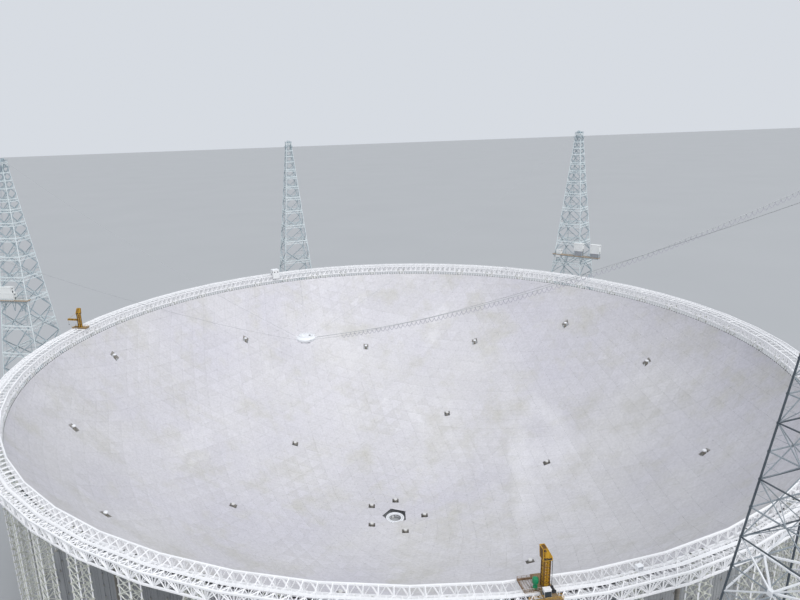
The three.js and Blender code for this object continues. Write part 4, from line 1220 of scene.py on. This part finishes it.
def feed_cabin():
    """Round cabin with ribs, a ring rail, a hatch, receiver horns below and six cable arms."""
    body, rails = Solids(), Solids()
    body.lathe(CABIN_OUTLINE, CABIN_SIDES, CABIN_CENTRE)
    angles = around(CABIN_RIBS)
    z = CABIN_CENTRE[2]

    def round_cabin(radius, height):
        return circle(radius, angles, z + height, CABIN_CENTRE)

    body.bars(round_cabin(6.53, -0.5), round_cabin(6.53, 0.6), 0.12, 4)
    body.bars(round_cabin(1.3, 2.27)[::2], round_cabin(4.75, 1.93)[::2], 0.12, 4)
    for rise in (1.6, 1.05):
        section = [(radius, height + rise) for radius, height in CABIN_RAIL]
        rails.lathe(section, CABIN_SIDES, CABIN_CENTRE, closed=True)
    rails.bars(round_cabin(4.65, 1.93), round_cabin(4.65, 2.68), 0.08, 4)
    for number in range(1, len(TOWERS) + 1):
        back = cable_socket(rails, *along_cable(cable_route(number), [0.0, 0.01]))
        inward = (back - CABIN_CENTRE) * (0.72, 0.72, 0.0) + CABIN_CENTRE
        for low in (-0.35, 1.0):
            rails.bars(back, inward + (0, 0, low), 0.26, 4)
    body.look = 1
    for azimuth, distance in CABIN_HORNS:
        body.blocks(circle(distance, [azimuth], z - 1.85, CABIN_CENTRE), (1.7, 1.3, 0.7), azimuth)
    body.look = 2
    skirt = [(1.6, -3.28), (1.7, -3.28), (1.7, -3.1), (1.6, -3.1)]
    body.lathe(skirt, CABIN_SIDES, CABIN_CENTRE, closed=True)
    body.blocks(CABIN_CENTRE + (2.6, 0, 2.2), (1.3, 1.3, 0.22))
    body.look = 0
    for place, size in (((-2.4, 1.0, 2.4), (1.4, 1.0, 0.7)), ((-2.2, -1.5, 2.35), (0.9, 0.9, 0.6))):
        body.blocks(CABIN_CENTRE + place, size, 0.3)
    looks = [CLEAN_WHITE, SHADED_GREY, BLACK]
    make_piece("feed_cabin_body", body, looks, "white_paint", ["feed_cabin"], True)
    make_piece("feed_cabin_fittings", rails, [CLEAN_WHITE], "white_paint", (), True)


FESTOON_LOOPS = 110
FESTOON_SPAN = (0.05, 0.99)
LOOP_DEPTH = 2.3
LOOP_STEPS = 6


def festoon():
    """Loops of hose and line that hang from trolleys along the laden cable."""
    route = cable_route(LADEN_TOWER)
    hangers = np.linspace(*FESTOON_SPAN, FESTOON_LOOPS + 1)
    share = np.linspace(0, 1, LOOP_STEPS + 1)
    drop = np.outer(LOOP_DEPTH * 4 * share * (1 - share) + 0.45, (0, 0, 1))
    solids = Solids()
    for first, last in zip(hangers[:-1], hangers[1:]):
        points = along_cable(route, np.linspace(first, last, LOOP_STEPS + 1)) - drop
        solids.chain(points, 0.2)
        solids.chain(points - (0, 0, 0.4), 0.1)
    spots = along_cable(route, hangers)
    solids.look = 1
    solids.bars(spots - (0, 0, 0.5), spots + (0, 0, 0.25), 0.24, 4)
    make_piece("festoon_loops", solids, [LILAC, SHADED_GREY], "cable_steel")


PILLAR_RISE = 2.0
PILLAR_SHAFT = 1.02
PILLAR_HEAD = 1.3
PILLAR_HEAD_HEIGHT = 1.15
PILLAR_SIDES = 24
COLLAR_DEPTH = 2.6
COLLAR_THICKNESS = 0.12


def pillars():
    """Round shafts with white heads and sights, and a frame round each opening."""
    frames = Solids()
    half = PILLAR_OPENING / 2
    for name, (x, y) in PILLAR_SPOTS.items():
        top = sphere_height(x, y) + PILLAR_RISE
        low = top - PILLAR_HEAD_HEIGHT
        foot = PILLAR_SHAFT + 0.15
        shaft = [(foot, 0.0), (foot, 0.6), (PILLAR_SHAFT, 0.75), (PILLAR_SHAFT, low)]
        head = [
            (PILLAR_HEAD - 0.12, low), (PILLAR_HEAD, low + 0.1), (PILLAR_HEAD, top - 0.3),
            (PILLAR_HEAD - 0.2, top - 0.08), (0.5, top - 0.02), (0.3, top), (0.02, top + 0.02),
        ]
        pillar = Solids()
        pillar.lathe(shaft, PILLAR_SIDES, (x, y, 0))
        pillar.look = 1
        pillar.lathe(head, PILLAR_SIDES, (x, y, 0))
        # The shafts' dark concrete is painted shade in the openings
        looks = [SHADED_CONCRETE, CLEAN_WHITE if name.startswith("outer") else PILLAR_WHITE]
        make_piece(f"{name}_body", pillar, looks, "concrete", [name], True)
        for cos, sin in QUARTERS:
            ends = [(x + (cos - sin * side) * half, y + (sin + cos * side) * half) for side in (-1, 1)]
            upper = [(*end, sphere_height(*end) - 0.25) for end in ends]
            lower = [(u, v, w - COLLAR_DEPTH) for u, v, w in upper]
            frames.slab([*lower, *upper[::-1]], (cos * COLLAR_THICKNESS, sin * COLLAR_THICKNESS, 0.0))
    make_piece("opening_frames", frames, [OPENING_GREY], "tower_steel")


DOCK_TOP = RING_TOP - 142.8
DOCK_PROFILE = [
    (4.6, -0.85), (4.75, -0.9), (6.8, -0.9), (7.0, -0.8), (7.0, -0.1), (6.9, 0.0),
    (6.1, 0.0), (5.95, -0.12), (5.3, -0.12), (5.15, 0.0), (4.7, 0.0), (4.6, -0.1),
]
DOCK_SIDES = 60
DOCK_LEG_RADIUS = 5.8
DOCK_CLAMPS = 30
DOCK_LEGS = 5


def docking_ring():
    """White ring with a groove, clamps and brackets, on legs with feet and crossed bracing."""
    solids = Solids()
    solids.lathe(DOCK_PROFILE, DOCK_SIDES, (0, 0, DOCK_TOP), closed=True)
    angles = around(DOCK_CLAMPS)
    solids.blocks(circle(6.9, angles, DOCK_TOP - 0.45), (0.3, 0.22, 0.6), angles)
    legs = NET_AZIMUTH + around(DOCK_LEGS)
    feet = circle(DOCK_LEG_RADIUS, legs)
    height = DOCK_TOP - 0.6
    solids.blocks(feet + (0, 0, height / 2), (0.9, 0.9, height), legs)
    after = np.roll(feet, -1, axis=0)
    for low, high in ((feet, after), (after, feet)):
        solids.bars(low + (0, 0, 0.6), high + (0, 0, height - 0.3), 0.24, 8)
    solids.look = 1
    solids.blocks(feet + (0, 0, 0.14), (1.7, 1.7, 0.28), legs)
    solids.look = 2
    solids.blocks(circle(5.62, angles, DOCK_TOP - 0.03), (0.55, 0.3, 0.1), angles)
    looks = [CLEAN_WHITE, CONCRETE, SHADED_GREY]
    make_piece("docking_ring_body", solids, looks, "white_paint", ["docking_ring"], True)


RING_CABIN_AZIMUTH = math.radians(118.9)
RING_CABIN_WIDTH = 6.6
RING_CABIN_HEIGHT = 6.2
RING_CABIN_SPAN = (246.4, 253.8)
RING_CABIN_DROP = 2.6


def ring_cabin():
    """Doors, windows, roof edge, ribs and a vent on the white cabin at the ring's inner edge."""
    white, glass = Solids(), Solids()
    inside, outside = RING_CABIN_SPAN
    middle, depth, half = (inside + outside) / 2, outside - inside, RING_CABIN_WIDTH / 2
    roof = RING_TOP + RING_CABIN_HEIGHT
    white.blocks((middle, 0, roof + 0.08), (depth + 0.3, RING_CABIN_WIDTH + 0.3, 0.24))
    white.blocks((middle + 1.0, 1.2, roof + 0.4), (1.5, 1.2, 0.55))
    for x, low in ((inside - 0.03, 0.1 - RING_CABIN_DROP), (outside + 0.03, 0.1)):
        height = RING_CABIN_HEIGHT - low - 0.2
        ribs = [(x, y, RING_TOP + low + height / 2) for y in np.arange(-half + 0.3, half, 0.6)]
        white.blocks(ribs, (0.08, 0.12, height))
    for side in (-1, 1):
        ribs = np.arange(inside + 0.4, outside, 0.7)
        ribs = [(x, side * (half + 0.03), RING_TOP + RING_CABIN_HEIGHT / 2) for x in ribs]
        white.blocks(ribs, (0.12, 0.08, RING_CABIN_HEIGHT - 0.3))
        y = side * (half + 0.06)
        glass.blocks((middle - 1.4, y, RING_TOP + 4.1), (1.5, 0.1, 1.0))
        glass.blocks((middle + 2.0, y, RING_TOP + 1.25), (1.0, 0.1, 2.1))
    glass.blocks([(inside - 0.06, y, RING_TOP + 4.2) for y in (-1.7, 1.7)], (0.1, 1.3, 0.9))
    pieces = {
        "ring_cabin_cladding": ([white], [CLEAN_WHITE], "white_paint"),
        "ring_cabin_windows": ([glass], [GLASS], "white_paint"),
    }
    place_pieces(pieces, RING_CABIN_AZIMUTH)


# Control cabinets on the girder's walk: azimuth in degrees, and size
CABINETS = ((-71, (1.6, 2.2, 1.9)), (62, (1.2, 1.6, 1.7)), (205, (1.2, 1.6, 1.7)))


def ring_cabinets():
    """Small control cabinets with a lid, two doors and a beam below."""
    solids = Solids()
    for degrees, size in CABINETS:
        depth, width, height = size
        cell = Solids()
        x = WALKWAY_EDGES[0] - depth / 2 - 0.2
        cell.blocks((x, 0, RING_TOP + height / 2 + 0.15), size)
        cell.blocks((x, 0, RING_TOP + height + 0.2), (depth + 0.2, width + 0.2, 0.12))
        cell.blocks((x, 0, RING_TOP + 0.08), (depth + 1.2, 0.3, 0.16))
        cell.look = 1
        doors = [(x + depth / 2 + 0.02, y, RING_TOP + height / 2 + 0.2) for y in (-width / 4, width / 4)]
        cell.blocks(doors, (0.05, width / 2 - 0.1, height - 0.3))
        solids.join(cell, math.radians(degrees))
    make_piece("ring_cabinets", solids, [CLEAN_WHITE, SHADED_GREY], "white_paint")


# Hoisting masts across the ring; their heights are above the ring's top, with X outwards
MAST_RING_RADIUS = 255.5
MAST_AZIMUTHS = [math.radians(-78.9), math.radians(169.5)]
MAST_HALF_WIDTH = 1.0
MAST_BAR = 0.17
MAST_PANELS = [1.0, 2.4, 3.8, 5.2, 6.6, 8.0, 9.4, 10.6, 11.8]
# The head's outline from the side as (y, z), the bars across it, and a plate in the same plane
MAST_HEAD = [(-1.5, 11.8), (1.5, 11.8), (1.4, 13.0), (-0.3, 16.2), (-1.8, 16.2)]
MAST_HEAD_BARS = [
    ((-1.5, 11.8), (1.4, 13.0)), ((-1.6, 13.0), (0.7, 14.3)), ((1.4, 13.0), (-1.7, 14.3)),
    ((0.7, 14.3), (-1.75, 15.3)), ((-1.7, 14.3), (-0.3, 16.2)),
]
MAST_HEAD_PLATE = [(-1.0, 12.7), (1.4, 12.9), (-0.35, 15.95), (-1.25, 15.95)]
MAST_HEAD_HALF_DEPTH = 1.3

# Decks: the main one's size, and each side deck as its ends in X and its ends in Y
MAST_DECK = (13.0, 4.8, 0.8)
OPEN_WING = (-5.2, 1.4, -7.6, -2.4)
PLANKED_WINGS = [(4.9, 6.5, -7.6, -2.4), (4.9, 6.5, 2.4, 3.6)]
WING_THICKNESS = 0.5
GRATING_BARS = 11

# Dark fittings of a mast: bars as start, end, thickness and sides, and blocks as centre and size
DARK_BARS = {
    "top pulley": ((-1.4, -1.0, 15.4), (1.4, -1.0, 15.4), 0.8, 20),
    "first rope": ((0.5, 2.1, 0.9), (0.5, 1.9, 12.2), 0.07, 4),
    "second rope": ((0.75, 2.1, 0.9), (0.75, 1.9, 12.2), 0.07, 4),
    "winch drum": ((1.4, 1.75, 1.4), (3.4, 1.75, 1.4), 1.0, 20),
    "inner flange": ((1.3, 1.75, 1.4), (1.4, 1.75, 1.4), 1.3, 20),
    "outer flange": ((3.4, 1.75, 1.4), (3.5, 1.75, 1.4), 1.3, 20),
}
DARK_BLOCKS = {
    "band below the head": ((0, 0.1, 12.15), (2.84, 2.9, 0.75)),
    "winch bed": ((2.4, 1.75, 0.9), (2.6, 1.2, 0.22)),
    "motor": ((3.0, 0.7, 1.2), (1.0, 0.7, 0.8)),
}

# Arm of the second mast: its ends in X, the levels of its bars, and its hook
ARM_SPAN = (1.1, 10.1)
ARM_LEVELS = (6.62, 7.78)
ARM_HALF_WIDTH = 0.62
ARM_PANELS = 9
HOOK_X = 9.6


def lattice_faces(solids, half, levels, size):
    """Crossed bars on the four sides of a square mast, with thicker corner legs."""
    for low, high in zip(levels[:-1], levels[1:]):
        bottom, top = square(half, low), square(half, high)
        for side in range(4):
            after = (side + 1) % 4
            solids.bars(bottom[[side, after]], top[[after, side]], size, 4)
            solids.bars(top[side], top[after], size, 4)
            solids.bars(bottom[side], top[side], 1.8 * size, 4)


def mast_head(solids):
    """Edge bars, crossed bars and a plate on each side of the mast's head, and bars from side to side."""
    depth = MAST_HEAD_HALF_DEPTH
    edges = list(zip(MAST_HEAD, MAST_HEAD[1:] + MAST_HEAD[:1]))
    for side in (-1, 1):
        x = side * (depth + 0.04)
        for pairs, size in ((edges, 0.24), (MAST_HEAD_BARS, 0.16)):
            for start, end in pairs:
                solids.bars((x, *start), (x, *end), size, 4)
        solids.slab([(x - 0.03, *corner) for corner in MAST_HEAD_PLATE], (0.06, 0, 0))
    for corner in MAST_HEAD:
        solids.bars((-depth - 0.1, *corner), (depth + 0.1, *corner), 0.24, 4)
    low, high = np.array(MAST_HEAD[2]), np.array(MAST_HEAD[3])
    for share in np.linspace(0.15, 0.85, 5):
        spot = low + (high - low) * share
        solids.bars((-depth, *spot), (depth, *spot), 0.2, 4)


def deck_rails(solids, outline, level, gap=()):
    """Handrail round a deck; sides whose number is in gap stay open."""
    for index, (start, end) in enumerate(zip(outline, outline[1:] + outline[:1])):
        if index not in gap:
            count = max(2, int(math.dist(start, end) / 1.3) + 1)
            shares = np.linspace(0, 1, count)
            solids.handrail((*start, level), (*end, level), shares, RAIL_HEIGHTS, 0.08)


def corners_of(from_x, to_x, from_y, to_y):
    return [(from_x, from_y), (to_x, from_y), (to_x, to_y), (from_x, to_y)]


def hoist_arm(yellow, dark):
    """Lattice arm with a stay, a rope and a hook."""
    y = MAST_HALF_WIDTH
    steps = np.linspace(*ARM_SPAN, ARM_PANELS + 1)
    zigzag = np.where(np.arange(ARM_PANELS + 1) % 2, *ARM_LEVELS)
    for side in (y - ARM_HALF_WIDTH, y + ARM_HALF_WIDTH):
        for level in ARM_LEVELS:
            yellow.bars((ARM_SPAN[0], side, level), (ARM_SPAN[1], side, level), 0.16, 4)
        yellow.chain(np.column_stack([steps, np.full(len(steps), side), zigzag]), 0.12, 4)
    yellow.bars((0.9, y, 13.0), (9.0, y, 7.85), 0.14, 4)
    dark.bars((HOOK_X, y, 6.5), (HOOK_X, y, 3.0), 0.06, 4)
    dark.blocks((HOOK_X, y, 2.8), (0.4, 0.4, 0.6))


def hoist_fittings(with_arm):
    """Lattice, head, ladder, ropes, winch and rails of one hoisting mast."""
    yellow, dark = Solids(), Solids()
    lattice_faces(yellow, MAST_HALF_WIDTH, MAST_PANELS, MAST_BAR)
    mast_head(yellow)
    ladder = -MAST_HALF_WIDTH - 0.25
    for y in (-0.3, 0.3):
        yellow.bars((ladder, y, 0.85), (ladder, y, 12.0), 0.08, 4)
    for z in np.arange(1.2, 12.0, 0.4):
        yellow.bars((ladder, -0.3, z), (ladder, 0.3, z), 0.06, 4)
    for bar in DARK_BARS.values():
        dark.bars(*bar)
    for block in DARK_BLOCKS.values():
        dark.blocks(*block)
    length, width, thickness = MAST_DECK
    outline = corners_of(-length / 2, length / 2, -width / 2, width / 2)
    if with_arm:
        deck_rails(yellow, outline, thickness, (1,))
        hoist_arm(yellow, dark)
    else:
        for wing, gap in zip(PLANKED_WINGS, (2, 0)):
            deck_rails(yellow, corners_of(*wing), WING_THICKNESS, (gap,))
        deck_rails(yellow, outline, thickness, (0, 2, 3))
    return yellow, dark


TANK_PLACE = (0.2, -3.45)
TANK_SIDES = 24
TANK_PROFILE = [
    (0.6, 0.0), (0.74, 0.1), (0.8, 0.5), (0.8, 1.1), (0.66, 1.5), (0.3, 1.62), (0.22, 1.7), (0.22, 2.1),
    (0.5, 2.2), (0.97, 2.4), (1.05, 2.8), (1.05, 3.7), (0.92, 4.2), (0.5, 4.45), (0.02, 4.5),
]
# The driver's cab: its first corner, its size, and how far its front leans back
CAB_CORNER = (3.2, -2.3, MAST_DECK[2] + SEAT)
CAB_SIZE = (2.0, 2.4, 2.4)
CAB_SLOPE = 0.5


def green_tank():
    """Two stacked barrels with a narrow waist, and a pipe beside them."""
    tank = Solids()
    x, y = TANK_PLACE
    bottom = WING_THICKNESS + SEAT
    tank.lathe(TANK_PROFILE, TANK_SIDES, (x, y, bottom))
    tank.bars((x + 0.95, y, bottom + 0.2), (x + 0.95, y, bottom + 4.2), 0.14, 8)
    return tank


def driver_cab():
    """Cab with a leaning front and a roof, and its panes on four sides."""
    cab, panes = Solids(), Solids()
    corner = np.array(CAB_CORNER)
    length, width, height = CAB_SIZE
    across = (0, -width, 0)
    outline = [(0, width, 0), (length, width, 0), (length - CAB_SLOPE, width, height), (0, width, height)]
    cab.slab(corner + outline, across)
    cab.blocks(corner + (0.75, width / 2, height + 0.06), (1.75, width + 0.2, 0.14))
    for y in (-0.03, width + 0.03):
        panes.blocks(corner + (0.85, y, 0.8), (1.5, 0.06, 1.2))
    panes.blocks(corner + (-0.03, width / 2, 1.2), (0.06, 1.8, 1.4))
    low, top = (length - CAB_SLOPE * 0.02, 0.08), (length - CAB_SLOPE * 0.78, 1.9)
    far = width - 0.06
    edges = ((low, -0.05), (low, 0.05), (top, 0.05), (top, -0.05))
    front = [(x + reach, far, z) for (x, z), reach in edges]
    panes.slab(corner + front, (0, 0.06 - far, 0))
    return cab, panes


def hoist_decks():
    """Planked decks of the first mast, and its open side deck of beams and thin bars."""
    planks, grating = Solids(), Solids()
    thickness = MAST_DECK[2]
    planks.blocks((0, 0, thickness / 2), MAST_DECK)
    for from_x, to_x, from_y, to_y in PLANKED_WINGS:
        centre = ((from_x + to_x) / 2, (from_y + to_y) / 2, WING_THICKNESS / 2)
        planks.blocks(centre, (to_x - from_x, to_y - from_y, WING_THICKNESS))
    from_x, to_x, from_y, to_y = OPEN_WING
    length, width = to_x - from_x, to_y - from_y
    x, y, level = from_x + length / 2, from_y + width / 2, WING_THICKNESS / 2
    edges = [(x, from_y + 0.1, level), (from_x + 0.15, y, level + 0.15), (to_x - 0.1, y, level)]
    grating.blocks(edges, [(length, 0.2, 0.5), (0.3, width, 0.8), (0.2, width, 0.5)])
    bars = np.linspace(from_x + 0.7, to_x - 0.5, GRATING_BARS)
    grating.blocks([(bar, y, level + 0.16) for bar in bars], (0.08, width, 0.06))
    beams = np.linspace(from_y + 0.7, to_y - 0.7, 5)
    grating.blocks([(x, beam, level + 0.1) for beam in beams], (length, 0.1, 0.08))
    grating.blocks((*TANK_PLACE, WING_THICKNESS - 0.06), (2.3, 2.0, 0.12))
    outline = [(from_x, to_y), (from_x, from_y), (to_x, from_y), (to_x, to_y)]
    deck_rails(grating, outline, WING_THICKNESS, (3,))
    return planks, grating


def hoists():
    """The two masts; only the first has side decks, a tank and a cab."""
    for number, azimuth in enumerate(MAST_AZIMUTHS, 1):
        first = number == 1
        yellow, dark = hoist_fittings(not first)
        pieces = {
            f"hoist_lattice_body_{number}": ([yellow], [YELLOW], "yellow_paint"),
            f"hoist_winch_body_{number}": ([dark], [BLACK], "yellow_paint"),
        }
        if first:
            cab, panes = driver_cab()
            planks, grating = hoist_decks()
            pieces.update({
                "hoist_tank_body_1": ([green_tank()], [GREEN], "green_paint", ["hoist_tank_1"], True),
                "hoist_cab_body_1": ([cab], [CLEAN_WHITE], "white_paint", ["hoist_cab_1"]),
                "hoist_panes_body_1": ([panes], [GLASS], "white_paint"),
                "hoist_planks_body_1": ([planks], [BOARDS], "deck_boards", ["hoist_deck_1"]),
                "hoist_grating_body_1": ([grating], [RUSTY], "deck_boards"),
            })
        place_pieces(pieces, azimuth, MAST_RING_RADIUS, RING_TOP + SEAT)


camera()
studio()
dress_frame()
for sector in range(1, SECTORS + 1):
    reflector(sector)
    cable_net(sector)
ring()
towers()
feed_cabin()
festoon()
pillars()
docking_ring()
ring_cabin()
ring_cabinets()
hoists()
